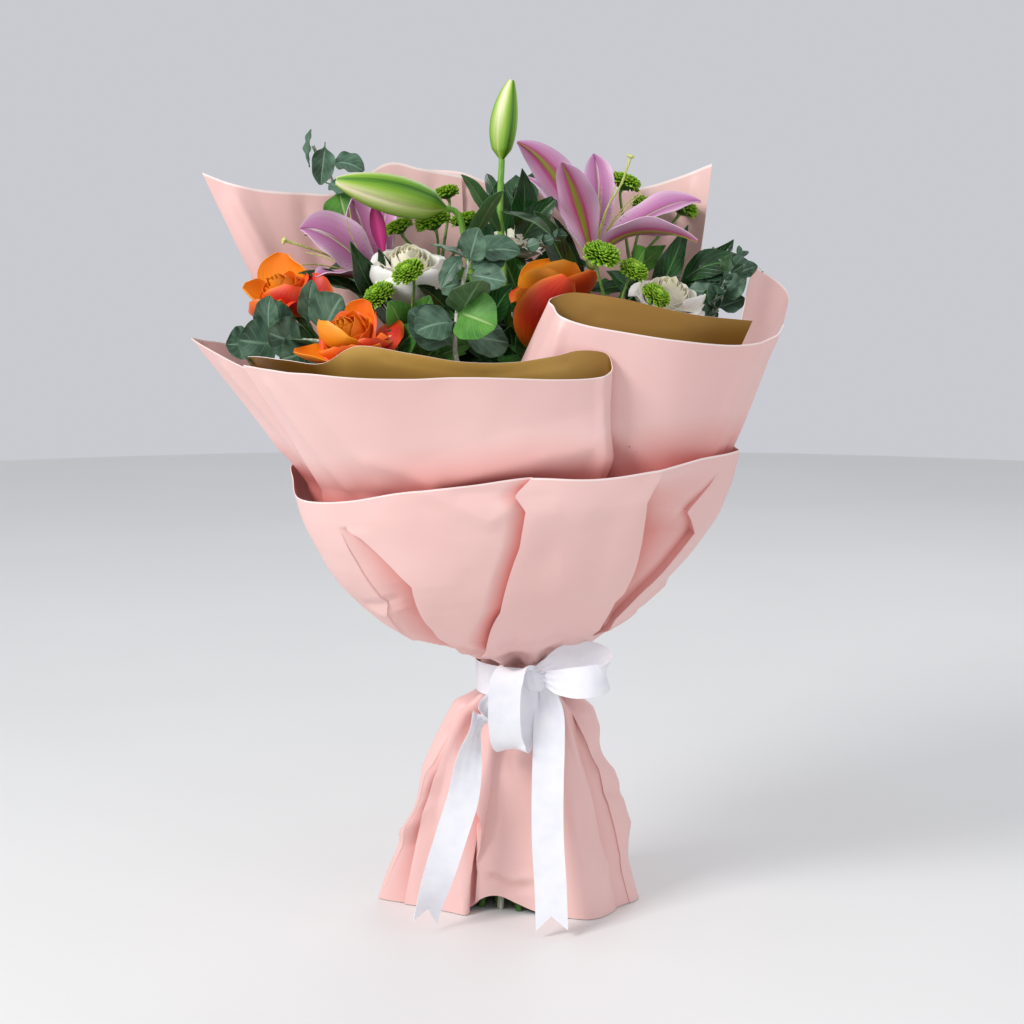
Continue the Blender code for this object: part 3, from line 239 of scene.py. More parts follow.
# Stems: kind, then the points that the stem leads to above the tie
STEMS = {
    "rose_orange_1": ("rose", [(-110, -71, 448)]), "rose_orange_2": ("rose", [(-164, -10, 473)]),
    "rose_orange_3": ("rose", [(24, -19, 465)]), "rose_white_1": ("rose", [(-83, -1, 491)]),
    "rose_white_2": ("rose", [(6, 43, 512)]), "rose_white_3": ("rose", [(116, -8, 468)]),
    "lily_1": ("lily", [(62, 16, 504), (63, 16, 511)]),
    "lily_2": ("lily", [(-92, 24, 484), (-97, 22, 492)]),
    "lily_bud_1": ("lily", [(-9, 8, 540), (-8, 13.6, 602)]),
    "lily_bud_2": ("lily", [(-38, 4, 540), (-43, 3, 557), (-52, 0, 560.5)]),
    **{f"spray_{k}": ("spray", [fork]) for k, fork in FORKS.items()},
    "eucalyptus_1": ("eucalyptus", [(-126, 62, 527), (-142, 58, 575), (-160, 50, 610)]),
    "eucalyptus_2": ("eucalyptus", [(-138, -52, 458), (-192, -48, 460), (-212, -44, 454)]),
    "eucalyptus_3": ("eucalyptus", [(-43, -80, 455), (-40, -80, 492), (-30, -74, 530)]),
    "eucalyptus_4": ("eucalyptus", [(156, 0, 470), (166, -4, 494), (178, -4, 516)]),
    "foliage": ("foliage", [(8, 62, 470), (2, 64, 560)]),
}
# Radius of a stem by its kind
RADIUS = {"rose": 2.9, "lily": 2.9, "spray": 2.7, "eucalyptus": 2.7, "foliage": 2.7}
# Leaves of a stem: height of the node, azimuth and rise in degrees, length, side to front
LEAVES = {
    "eucalyptus_1": [(509, 195, -10, 36, 1), (534, 120, 60, 36, 0), (538, 210, 20, 42, 0),
        (560, 75, 40, 26, 0)],
    "eucalyptus_2": [(440, 165, 5, 46, 1), (445, 210, -10, 42, 1), (447, 210, 20, 46, 0),
        (448, 180, -10, 42, 1)],
    "eucalyptus_3": [(456, 195, 40, 46, 1), (467, 30, -10, 46, 1), (479, 300, 40, 46, 0),
        (505, 135, -10, 24, 1), (512, 345, -10, 32, 1), (515, 15, 20, 32, 1),
        (519, 300, 60, 32, 1), (523, 165, 20, 32, 0)],
    "eucalyptus_4": [(475, 240, 40, 20, 1), (482, 0, 20, 24, 1), (486, 240, 40, 24, 1),
        (490, 330, 40, 28, 1), (494, 165, 5, 28, 1), (505, 270, 60, 24, 0), (506, 150, 20, 28, 1),
        (509, 345, 20, 20, 1)],
    "foliage": [(443, 180, -10, 50, 1), (454, 135, 20, 50, 1), (456, 150, 40, 62, 1),
        (458, 180, -10, 50, 1), (503, 315, 5, 62, 1), (509, 15, 5, 62, 1), (511, 165, 40, 62, 1),
        (529, 75, 40, 62, 1), (540, 90, 40, 74, 1), (548, 45, 60, 50, 1)],
    "rose_orange_1": [(428, 285, 60, 50, 1)],
    "rose_orange_2": [(444, 195, -10, 50, 1), (456, 135, 5, 50, 1), (458, 195, 5, 34, 1)],
    "rose_orange_3": [(433, 225, 60, 50, 1), (443, 150, 5, 50, 1), (447, 165, 20, 34, 1)],
    "rose_white_1": [(445, 315, 5, 42, 1), (451, 315, 60, 50, 0), (470, 285, 40, 42, 0)],
    "rose_white_2": [(467, 150, 5, 50, 1), (475, 210, 40, 34, 1), (486, 225, 60, 50, 1)],
    "lily_1": [(482, 210, 60, 95, 1), (491, 135, 60, 78, 0), (496, 15, 5, 60, 1)],
    "lily_2": [(442, 150, 40, 95, 0), (443, 0, 20, 78, 1), (461, 255, -10, 60, 1)],
    "lily_bud_1": [(541, 240, 40, 78, 0), (553, 105, 40, 60, 0), (559, 300, -10, 78, 0)],
    "lily_bud_2": [(447, 225, 40, 95, 1), (461, 165, 20, 60, 1), (529, 300, 40, 78, 0)],
    "spray_1": [(433, 255, 60, 36, 1), (449, 0, 5, 28, 1)],
    "spray_2": [(457, 135, 5, 42, 1), (498, 30, 20, 36, 1)],
    "spray_3": [(495, 195, 5, 28, 1), (504, 345, 40, 42, 1)],
    "spray_4": [(463, 330, 60, 36, 0)],
}


def unit(v):
    v = np.asarray(v, float)
    return v / np.maximum(np.linalg.norm(v, axis=-1, keepdims=True), 1e-9)


def axes_of(axis):
    """Two directions square to an axis, and the axis."""
    a = unit(axis)
    side = unit(np.cross(a, (0, 1, 0) if abs(a[1]) < .9 else (1, 0, 0)))
    return side, np.cross(a, side), a


def bezier(points, t):
    """Points at t, a number or an array, of the Bezier curve with these control points."""
    p = [np.asarray(q, float) for q in points]
    t = np.asarray(t, float)[..., None]
    while len(p) > 1:
        p = [a + (b - a) * t for a, b in zip(p, p[1:])]
    return p[0]


def through(points, t, closed=False):
    """Smooth curve through points at t, counted in points from the first."""
    p = np.asarray(points, float)
    n = len(p)
    t = np.asarray(t, float)
    if closed:
        k = np.floor(t).astype(int)
        a, b, c, d = (p[(k + j) % n] for j in (-1, 0, 1, 2))
    else:
        k = np.clip(np.floor(t).astype(int), 0, n - 2)
        q = np.vstack([2 * p[0] - p[1], p, 2 * p[-1] - p[-2]])
        a, b, c, d = (q[k + j] for j in (0, 1, 2, 3))
    f = (t - k)[:, None]
    return .5 * (2 * b + (c - a) * f + (2 * a - 5 * b + 4 * c - d) * f**2
                 + (3 * b - a - 3 * c + d) * f**3)


def round_table(table):
    """Values of a table round the circle, once for each half degree."""
    angles = np.array([row[0] for row in table], float)
    n = len(table)
    found = []
    for a in np.arange(0, 360, .5):
        a = a + 360 if a < angles[0] else a
        k = int(np.searchsorted(angles, a, "right")) - 1
        x = [angles[(k + j) % n] + 360.0 * ((k + j) // n) for j in (-1, 0, 1, 2)]
        y = [np.array(table[(k + j) % n][1:], float) for j in (-1, 0, 1, 2)]
        h = x[2] - x[1]
        t = (a - x[1]) / h
        m1, m2 = h * (y[2] - y[0]) / (x[2] - x[0]), h * (y[3] - y[1]) / (x[3] - x[1])
        found.append((2 * t**3 - 3 * t**2 + 1) * y[1] + (t**3 - 2 * t**2 + t) * m1
                     + (3 * t**2 - 2 * t**3) * y[2] + (t**3 - t**2) * m2)
    return np.array(found)


def at_angle(table, angle):
    """Columns of a round_table at these angles."""
    a = np.asarray(angle, float) % 360.0 * 2
    k = np.floor(a).astype(int)
    f = (a - k)[..., None]
    return table[k % 720] * (1 - f) + table[(k + 1) % 720] * f


def table_value(table, t):
    return np.interp(t, [a for a, b in table], [b for a, b in table])


RIM, HEM_LINE = round_table(COLLAR), round_table(HEM)


def around(angle, radius, z):
    a = np.radians(angle)
    return np.stack(np.broadcast_arrays(TIE[0] + radius * np.cos(a),
                                        TIE[1] + radius * np.sin(a), z), -1)


def ripple(points, size, seed):
    """Soft noise from -1 to 1 at points, with bumps of about this size in millimetres."""
    flat = np.asarray(points, float).reshape(-1, 3) / size + seed
    return np.array([noise.noise(p) for p in flat.tolist()]).reshape(points.shape[:-1])


def points_of(mesh):
    points = np.zeros(len(mesh.vertices) * 3)
    mesh.vertices.foreach_get("co", points)
    return points.reshape(-1, 3)


class Build:
    """Gathers the skins and bars of one piece: points in millimetres, faces, UVs, slots, tones."""

    def __init__(self):
        self.points, self.faces, self.uvs, self.slots, self.tones = [], [], [], [], []
        self.count = 0

    def points_in(self, points, tone=0.0):
        points, tone = points.reshape(-1, 3), np.asarray(tone, float).reshape(-1)
        self.points.append(points)
        self.tones.append(np.broadcast_to(tone, len(points)) if tone.size == 1 else tone)
        self.count += len(points)
        return self.count - len(points)

    def faces_in(self, faces, uvs, slot):
        self.faces += faces.tolist()
        self.uvs.append(uvs.reshape(-1, 2))
        self.slots.append(np.full(len(faces), slot))

    def take(self, mesh, slot, points=None):
        """Add a mesh in metres as it is, or with its points moved to these."""
        tones = np.zeros(len(mesh.vertices))
        if "tone" in mesh.attributes:
            mesh.attributes["tone"].data.foreach_get("value", tones)
        start = self.points_in((points_of(mesh) if points is None else points) / MM, tones)
        uvs = np.zeros(len(mesh.loops) * 2)
        if mesh.uv_layers:
            mesh.uv_layers[0].data.foreach_get("uv", uvs)
        self.faces += [[start + v for v in face.vertices] for face in mesh.polygons]
        self.uvs.append(uvs.reshape(-1, 2))
        self.slots.append(np.full(len(mesh.polygons), slot))

    def mesh(self, name):
        made = bpy.data.meshes.new(name)
        made.from_pydata((np.concatenate(self.points) * MM).tolist(), [], self.faces)
        made.uv_layers.new(name="UVMap").data.foreach_set("uv", np.concatenate(self.uvs).ravel())
        made.polygons.foreach_set("material_index", np.concatenate(self.slots).astype(np.int32))
        tone = made.attributes.new("tone", "FLOAT", "POINT")
        tone.data.foreach_set("value", np.concatenate(self.tones).astype(np.float32))
        made.shade_smooth()
        made.set_sharp_from_angle(angle=math.radians(52))
        made.update()
        return made


def quads(rows, cols, closed):
    i = np.arange(cols if closed else cols - 1)
    a = (np.arange(rows - 1)[:, None] * cols + i).ravel()
    b = (np.arange(rows - 1)[:, None] * cols + (i + 1) % cols).ravel()
    return np.stack([a, b, b + cols, a + cols], 1)


def square_uvs(u, v):
    """Corner UVs of the quads between columns at u and rows at v."""
    a, b = np.meshgrid(u[:-1], v[:-1]), np.meshgrid(u[1:], v[1:])
    return np.stack([np.stack([a[0], a[1]], -1), np.stack([b[0], a[1]], -1),
                     np.stack([b[0], b[1]], -1), np.stack([a[0], b[1]], -1)], -2).reshape(-1, 4, 2)


def normals_of(grid, closed=False):
    across = (np.roll(grid, -1, 1) - np.roll(grid, 1, 1)) if closed else np.gradient(grid, axis=1)
    return unit(np.cross(across, np.gradient(grid, axis=0)))


def skin(build, grid, thick, slots, closed=False, u=None, v=None, tone=0.0, normals=None):
    """Thin surface over a grid of points: upper side, under side and edges with their slots."""
    rows, cols = grid.shape[:2]
    normals = normals_of(grid, closed) if normals is None else normals
    lift = normals * np.asarray(thick, float)[..., None] / 2
    u = np.linspace(0, 1, cols + closed) if u is None else u
    v = np.linspace(0, 1, rows) if v is None else v
    faces, uvs = quads(rows, cols, closed), square_uvs(u, v)
    tones = tone if isinstance(tone, tuple) else (tone, tone)
    top = build.points_in(grid + lift, tones[0])
    low = build.points_in(grid - lift, tones[1])
    build.faces_in(faces + top, uvs, slots[0])
    build.faces_in(faces[:, ::-1] + low, uvs[:, ::-1], slots[1])
    i = np.arange(cols if closed else cols - 1)
    k = (i + 1) % cols
    end = (rows - 1) * cols
    start, stop = np.full(len(i), v[0]), np.full(len(i), v[-1])
    rim = [(np.stack([low + i, low + k, top + k, top + i], 1), u[i], u[i + 1], start, start),
           (np.stack([top + end + i, top + end + k, low + end + k, low + end + i], 1),
            u[i], u[i + 1], stop, stop)]
    if not closed:
        j = np.arange(rows - 1) * cols
        left, right = np.full(rows - 1, u[0]), np.full(rows - 1, u[-1])
        rim += [(np.stack([top + j, top + j + cols, low + j + cols, low + j], 1),
                 left, left, v[:-1], v[1:]),
                (np.stack([low + j, low + j + cols, top + j + cols, top + j], 1) + cols - 1,
                 right, right, v[:-1], v[1:])]
    for faces, u0, u1, v0, v1 in rim:
        a, b = np.stack([u0, v0], 1), np.stack([u1, v1], 1)
        build.faces_in(faces, np.stack([a, b, b, a], 1), slots[2])


def bulb(build, grid, slot):
    """Closed body over rings of points, first and last ring drawn to a point."""
    rows, cols = grid.shape[:2]
    start = build.points_in(grid)
    build.faces_in(quads(rows, cols, True) + start,
                   square_uvs(np.linspace(0, 1, cols + 1), np.linspace(0, 1, rows)), slot)
    ends = build.points_in(np.stack([grid[0].mean(0), grid[-1].mean(0)]))
    i = np.arange(cols)
    k = (i + 1) % cols
    last = start + (rows - 1) * cols
    u = np.stack([(i + 1) / cols, i / cols, (i + .5) / cols], 1)
    build.faces_in(np.stack([start + k, start + i, np.full(cols, ends)], 1),
                   np.stack([u, np.zeros_like(u)], -1), slot)
    build.faces_in(np.stack([last + i, last + k, np.full(cols, ends + 1)], 1),
                   np.stack([u[:, [1, 0, 2]], np.ones_like(u)], -1), slot)


def ball(build, centre, axes, wide, tall, rows, cols, slot, edge, ribs=0.0):
    """Round body about a centre, ribbed three times round its third axis."""
    x, y, z = axes
    t, a = np.linspace(edge, math.pi - edge, rows)[:, None], np.linspace(0, 2 * math.pi, cols, False)
    r = wide * np.sin(t) * (1 + ribs * np.cos(3 * a))
    bulb(build, np.asarray(centre, float) - z * (tall * np.cos(t))[..., None]
         + x * (r * np.cos(a))[..., None] + y * (r * np.sin(a))[..., None], slot)


def blade(build, spine, width, face, outline, slots, cup=.2, groove=0.0, ruffle=0.0, waves=3.0,
          thick=.5, rows=14, cols=9, phase=0.0, tone=0.0):
    """Leaf or petal along a spine; its upper side looks to face, outline gives its half widths."""
    t = np.linspace(0, 1, rows)
    line = bezier(spine, t)
    run = unit(np.gradient(line, axis=0))
    across = unit(np.cross(run, unit(face)))
    up = np.cross(across, run)
    u = np.linspace(-1, 1, cols)
    half = .5 * width * through([[o] for o in outline], t * (len(outline) - 1))[:, 0].clip(.012)
    lift = (cup * half[:, None] * u**2 - groove * np.exp(-(u / .13) ** 2)
            + ruffle * np.abs(u) ** 2.5 * np.sin(phase + waves * 2 * math.pi * t[:, None]
                                                 + 1.3 * np.sign(u)) * np.sin(math.pi * t)[:, None])
    grid = (line[:, None] + across[:, None] * (u * half[:, None])[..., None]
            + up[:, None] * lift[..., None])
    skin(build, grid, thick, slots, tone=tone)


def node(tree, kind, inputs=None, stops=None, **settings):
    """Add a node: settings are its properties, inputs are socket values or links."""
    made = tree.nodes.new(kind)
    for key, value in settings.items():
        setattr(made, key, value)
    for key, value in (inputs or {}).items():
        if isinstance(value, bpy.types.NodeSocket):
            tree.links.new(value, made.inputs[key])
        else:
            made.inputs[key].default_value = value
    if stops:
        ramp = made.color_ramp
        while len(ramp.elements) < len(stops):
            ramp.elements.new(.5)
        for element, (place, colour) in zip(ramp.elements, stops):
            element.position = place
            element.color = (*linear(colour), 1)
    return made


def first(tree, kind, inputs=None, **settings):
    """Add a node and return its first output."""
    return node(tree, kind, inputs, **settings).outputs[0]


def calc(tree, operation, *values):
    return first(tree, "ShaderNodeMath", dict(enumerate(values)), operation=operation)


def linear(text):
    """Linear colour of an sRGB hex value."""
    parts = [int(text[i:i + 2], 16) / 255 for i in (1, 3, 5)]
    return tuple(p / 12.92 if p <= .04045 else ((p + .055) / 1.055) ** 2.4 for p in parts)


def place_in(tree, kind="Object"):
    return node(tree, "ShaderNodeTexCoord").outputs[kind]


def tone_in(tree):
    return node(tree, "ShaderNodeAttribute", attribute_name="tone").outputs["Fac"]


def cloud(tree, place, scale, detail=2.0):
    return node(tree, "ShaderNodeTexNoise", {"Vector": place, "Scale": scale,
                                             "Detail": detail}).outputs["Fac"]


def ramp(tree, factor, stops):
    return first(tree, "ShaderNodeValToRGB", {"Fac": factor}, stops=stops)


def mixed(tree, factor, a, b):
    """Colour from a to b, which are links or hex values."""
    a, b = ((*linear(c), 1) if isinstance(c, str) else c for c in (a, b))
    return node(tree, "ShaderNodeMix", {"Factor": factor, "A": a, "B": b},
                data_type="RGBA").outputs["Result"]


def ranged(tree, value, low, high, start=0.0, end=1.0):
    return first(tree, "ShaderNodeMapRange", {"Value": value, "From Min": low, "From Max": high,
                                              "To Min": start, "To Max": end})


def new_material(name, roughness, **sockets):
    """Material with a Principled shader; returns it and its tree."""
    made = bpy.data.materials.new(name)
    made.use_nodes = True
    shader = made.node_tree.nodes["Principled BSDF"]
    shader.inputs["Roughness"].default_value = roughness
    for key, value in sockets.items():
        shader.inputs[key.replace("_", " ")].default_value = value
    return made, made.node_tree


def coloured(made, colour, height=None, strength=0.0, depth=0.0, invert=False):
    """Link a material's colour and, where there is one, its relief of this depth in metres."""
    tree = made.node_tree
    shader = tree.nodes["Principled BSDF"]
    tree.links.new(colour, shader.inputs["Base Color"])
    if height is not None:
        bump = node(tree, "ShaderNodeBump", {"Height": height, "Strength": strength,
                                             "Distance": depth}, invert=invert)
        tree.links.new(bump.outputs["Normal"], shader.inputs["Normal"])
    return made


def coated_paper(name, colour, shade, metal=0.0, roughness=.44, deep=None, rim=None):
    """Flower paper of matt coated film: calendered smooth, so soft wide lights and a fine tooth.

    Where it lies doubled, in a fold or in shade, the tone attribute paints it deeper: painted shade, with
    the glow of light passed through the paper painted in too.
    """
    made, tree = new_material(name, roughness, Metallic=metal)
    place = place_in(tree)
    tint = ramp(tree, cloud(tree, place, 9.0), [(.3, shade), (.7, colour)])
    # Painted shade: where the tone attribute is high the colour goes to the deep one
    if deep:
        tint = mixed(tree, tone_in(tree), tint, deep)
    if rim:
        # Cut edge seen on end, widened by a painted highlight: a band of the edge colour, about 1 mm of
        # the height of the sheet
        tint = mixed(tree, ranged(tree, uv_parts(tree)[1], .9945, .9965), tint, rim)
    # Tooth of the film, about 1 mm so that it shows at this distance
    return coloured(made, tint, cloud(tree, place, 900.0), .10, .0002)


def uv_parts(tree, repeat=1):
    """Outputs the UV, its part along (0 to 1) and the distance from the middle line (0 to 1)."""
    place = place_in(tree, "UV")
    parts = node(tree, "ShaderNodeSeparateXYZ", {"Vector": place})
    across = parts.outputs["X"]
    if repeat > 1:
        across = calc(tree, "FRACT", calc(tree, "MULTIPLY", across, float(repeat)))
    middle = calc(tree, "ABSOLUTE", calc(tree, "SUBTRACT", across, .5))
    return place, parts.outputs["Y"], calc(tree, "MULTIPLY", middle, 2.0)


def streaks(tree, place, scale, detail=3.0):
    """Noise drawn out along a petal or a stem, in streaks across its width."""
    return cloud(tree, first(tree, "ShaderNodeMapping", {"Vector": place, "Scale": scale}), 1.0, detail)


def petal(name, colours, edge, tone):
    """Petal: living skin with fine veins, so the colour runs in streaks and light soaks in."""
    made, tree = new_material(name, .5, Subsurface_Weight=.12, Subsurface_Radius=(.6, .3, .15),
                              Subsurface_Scale=.004)
    place, along, middle = uv_parts(tree)
    grain = streaks(tree, place, (26.0, 2.2, 1.0))
    shift = calc(tree, "MULTIPLY_ADD", grain, .34, -.17)
    body = ramp(tree, calc(tree, "ADD", along, shift), colours)
    rim = calc(tree, "MULTIPLY", calc(tree, "POWER", middle, 6.0), .7)
    colour = mixed(tree, tone_in(tree), tone, mixed(tree, rim, body, edge))
    return coloured(made, colour, grain, .35, .0006)


def banded_petal(name, bands, veins=40.0, spots=None, repeat=1):
    """Lily petal or bud: waxy skin coloured in bands from the midrib to the edge."""
    made, tree = new_material(name, .45, Subsurface_Weight=.1, Subsurface_Radius=(.6, .3, .3),
                              Subsurface_Scale=.004)
    place, along, middle = uv_parts(tree, repeat)
    grain = streaks(tree, place, (veins, 2.0, 1.0))
    drive = calc(tree, "ADD", middle, calc(tree, "MULTIPLY_ADD", grain, .36, -.18))
    colour = mixed(tree, along, ramp(tree, drive, bands[0]), ramp(tree, drive, bands[1]))
    if spots:
        dots = node(tree, "ShaderNodeTexVoronoi", {"Vector": place_in(tree), "Scale": 380.0,
                                                   "Randomness": 1.0})
        near = ranged(tree, dots.outputs["Distance"], .16, .24, 1.0, 0.0)
        low = ranged(tree, along, .3, .55, .9, 0.0)
        colour = mixed(tree, calc(tree, "MULTIPLY", near, low), colour, spots)
    return coloured(made, colour, grain, .3, .0005)


def leaf(name, dark, light, rib, roughness, ribs, depth):
    """Leaf: cuticle over veined tissue, with a pale midrib, side ribs and blotches."""
    made, tree = new_material(name, roughness)
    _, along, middle = uv_parts(tree)
    flesh = ramp(tree, cloud(tree, place_in(tree), 60.0, 3.0), [(.36, dark), (.64, light)])
    # Side ribs lean to the tip: their phase is the way along less the way from the midrib
    lean = calc(tree, "MULTIPLY_ADD", middle, -.34, along)
    wave = calc(tree, "SINE", calc(tree, "MULTIPLY", lean, ribs * 2 * math.pi))
    vein = calc(tree, "MAXIMUM", ranged(tree, wave, .90, 1.0, 0.0, .42),
                ranged(tree, middle, .03, .09, 1.0, 0.0))
    return coloured(made, mixed(tree, vein, flesh, rib), vein, depth, .0006, True)


def stalk(name, dark, light):
    """Green stem: long fibres under a smooth skin, with lighter and darker stretches."""
    made, tree = new_material(name, .5)
    grain = streaks(tree, place_in(tree), (900.0, 900.0, 40.0), 2.0)
    return coloured(made, ramp(tree, grain, [(.35, dark), (.65, light)]), grain, .3, .0004)


def floret_skin(name, deep, mid, tip):
    """Button floret: matt living tissue, deep green in its cup and pale at the tip."""
    made, tree = new_material(name, .55, Subsurface_Weight=.08, Subsurface_Radius=(.3, .5, .1),
                              Subsurface_Scale=.003)
    drive = calc(tree, "MULTIPLY_ADD", tone_in(tree), .30, uv_parts(tree)[1])
    return coloured(made, ramp(tree, drive, [(.25, deep), (.75, mid), (1.0, tip)]))


def satin(name, colour, shade):
    """Polyester satin: long floats across fine warp, so a soft sheen and faint cross lines."""
    made, tree = new_material(name, .36, Sheen_Weight=.25, Sheen_Roughness=.4, Anisotropic=.35)
    place = place_in(tree, "UV")
    # UVs are in millimetres; threads are 0.35 mm apart, drawn at 0.7 mm so that they show
    threads = node(tree, "ShaderNodeTexWave", {"Vector": place, "Scale": .45, "Distortion": .6,
                                               "Detail": 1.0}, bands_direction="Y")
    tint = ramp(tree, cloud(tree, place, .08), [(.35, shade), (.6, colour)])
    return coloured(made, tint, threads.outputs["Fac"], .12, .0002)


def jute(name):
    """Jute twine: two hairy strands, so a coarse matt surface in straw colours."""
    made, tree = new_material(name, .9)
    hair = cloud(tree, place_in(tree), 1500.0, 4.0)
    return coloured(made, ramp(tree, hair, [(.3, "#7A6038"), (.7, "#C2A46C")]), hair, .6, .0006)


def new_tree(name, *inputs):
    """Geometry Nodes tree with these named inputs; returns it with the outputs they give."""
    tree = bpy.data.node_groups.new(name, "GeometryNodeTree")
    tree.interface.new_socket("Geometry", in_out="OUTPUT", socket_type="NodeSocketGeometry")
    for label, kind, value in [("Geometry", "Geometry", None), *inputs, ("Material", "Material", None)]:
        socket = tree.interface.new_socket(label, in_out="INPUT", socket_type="NodeSocket" + kind)
        if value is not None:
            socket.default_value = value
    return tree, tree.nodes.new("NodeGroupInput").outputs


def finish_tree(tree, given, geometry):
    """Every tree ends in Realize Instances and Set Material."""
    real = first(tree, "GeometryNodeRealizeInstances", {"Geometry": geometry})
    done = first(tree, "GeometryNodeSetMaterial", {"Geometry": real, "Material": given["Material"]})
    tree.links.new(done, tree.nodes.new("NodeGroupOutput").inputs[0])
    return tree


def grown(mesh, tree, **values):
    """Plain mesh that a tree makes of a mesh; its inputs are set by their identifiers."""
    thing = placed("seed", mesh)
    modifier = thing.modifiers.new("grow", "NODES")
    modifier.node_group = tree
    for item in tree.interface.items_tree:
        key = item.name.lower().replace(" ", "_")
        if item.in_out == "INPUT" and key in values:
            modifier[item.identifier] = values[key]
    bpy.context.view_layer.update()
    made = bpy.data.meshes.new_from_object(
        thing.evaluated_get(bpy.context.evaluated_depsgraph_get()))
    thing.modifiers.clear()
    bpy.data.objects.remove(thing)
    return made


def smooth_line(tree, given):
    line = first(tree, "GeometryNodeMeshToCurve", {"Mesh": given["Geometry"]})
    return first(tree, "GeometryNodeCurveSplineType", {"Curve": line}, spline_type="CATMULL_ROM")


def varied(tree, given, low, high):
    """Random number between two, by the seed."""
    return node(tree, "FunctionNodeRandomValue", {"Min": low, "Max": high, "Seed": given["Seed"]},
                data_type="FLOAT").outputs["Value"]


def bars_tree(name):
    """Round bars along polylines whose points carry their thickness as a radius."""
    tree, given = new_tree(name, ("Sides", "Int", 10), ("Step", "Float", .005))
    even = first(tree, "GeometryNodeResampleCurve", {"Curve": smooth_line(tree, given),
                                                     "Length": given["Step"]}, mode="LENGTH")
    ring = first(tree, "GeometryNodeCurvePrimitiveCircle", {"Resolution": given["Sides"],
                                                            "Radius": 1.0})
    size = node(tree, "GeometryNodeInputNamedAttribute", {"Name": "thickness"}, data_type="FLOAT")
    return finish_tree(tree, given, first(tree, "GeometryNodeCurveToMesh", {
        "Curve": even, "Profile Curve": ring, "Scale": size.outputs["Attribute"],
        "Fill Caps": True}))


def florets_tree(name):
    """Florets spread over a dome by the golden angle, small and upright in the middle."""
    tree, given = new_tree(name, ("Floret", "Object", None), ("Count", "Int", 110),
                           ("Dome radius", "Float", .009), ("Reach", "Float", 2.0),
                           ("Seed", "Int", 1))
    line = first(tree, "GeometryNodeMeshLine", {"Count": given["Count"], "Offset": (0, 0, 0)},
                 mode="OFFSET")
    index = first(tree, "GeometryNodeInputIndex")
    part = calc(tree, "DIVIDE", index, given["Count"])
    fall = calc(tree, "SUBTRACT", 1.0, calc(tree, "COSINE", given["Reach"]))
    high = calc(tree, "SUBTRACT", 1.0, calc(tree, "MULTIPLY", part, fall))
    wide = calc(tree, "SINE", calc(tree, "ARCCOSINE", high))
    turn = calc(tree, "MULTIPLY", index, GOLDEN_ANGLE)
    c, s = calc(tree, "COSINE", turn), calc(tree, "SINE", turn)
    away = first(tree, "ShaderNodeCombineXYZ", {"X": calc(tree, "MULTIPLY", c, wide),
                                                "Y": calc(tree, "MULTIPLY", s, wide), "Z": high})
    jitter = first(tree, "FunctionNodeRandomValue", {"Min": (-.14,) * 3, "Max": (.14,) * 3,
                                                     "Seed": given["Seed"]},
                   data_type="FLOAT_VECTOR")
    lean = first(tree, "ShaderNodeVectorMath", {0: away, 1: jitter}, operation="ADD")
    flat = first(tree, "ShaderNodeCombineXYZ", {"X": c, "Y": s, "Z": -.2})
    turned = first(tree, "FunctionNodeAxesToRotation", {"Primary Axis": lean,
                                                        "Secondary Axis": flat},
                   primary_axis="Z", secondary_axis="X")
    spot = first(tree, "ShaderNodeVectorMath", {0: away, "Scale": given["Dome radius"]},
                 operation="SCALE")
    dome = first(tree, "GeometryNodeSetPosition", {"Geometry": line, "Position": spot})
    toned = first(tree, "GeometryNodeStoreNamedAttribute", {
        "Geometry": dome, "Name": "tone", "Value": part}, data_type="FLOAT", domain="POINT")
    grow = ranged(tree, part, 0.0, .35, .45, 1.0)
    shape = node(tree, "GeometryNodeObjectInfo", {"Object": given["Floret"]}).outputs["Geometry"]
    return finish_tree(tree, given, first(tree, "GeometryNodeInstanceOnPoints", {
        "Points": toned, "Instance": shape, "Rotation": turned,
        "Scale": calc(tree, "MULTIPLY", grow, varied(tree, given, .86, 1.12))}))


def pairs_tree(name):
    """Leaves in pairs along a twig, each pair turned a quarter from the last."""
    tree, given = new_tree(name, ("Leaf", "Object", None), ("Gap", "Float", .006),
                           ("Size", "Float", 1.0), ("Seed", "Int", 3))
    spots = node(tree, "GeometryNodeCurveToPoints", {"Curve": smooth_line(tree, given),
                                                     "Length": given["Gap"]}, mode="LENGTH")
    quarter = calc(tree, "MULTIPLY", first(tree, "GeometryNodeInputIndex"), 1.75)
    shape = node(tree, "GeometryNodeObjectInfo", {"Object": given["Leaf"]}).outputs["Geometry"]
    size = calc(tree, "MULTIPLY", varied(tree, given, .75, 1.15), given["Size"])
    both = node(tree, "GeometryNodeJoinGeometry")
    for half in (0.0, math.pi):
        spin = first(tree, "ShaderNodeCombineXYZ", {"Z": calc(tree, "ADD", quarter, half)})
        turned = first(tree, "FunctionNodeRotateRotation", {
            "Rotation": spots.outputs["Rotation"], "Rotate By": spin}, rotation_space="LOCAL")
        many = first(tree, "GeometryNodeInstanceOnPoints", {
            "Points": spots.outputs["Points"], "Instance": shape, "Rotation": turned,
            "Scale": size})
        tree.links.new(many, both.inputs[0])
    return finish_tree(tree, given, both.outputs[0])


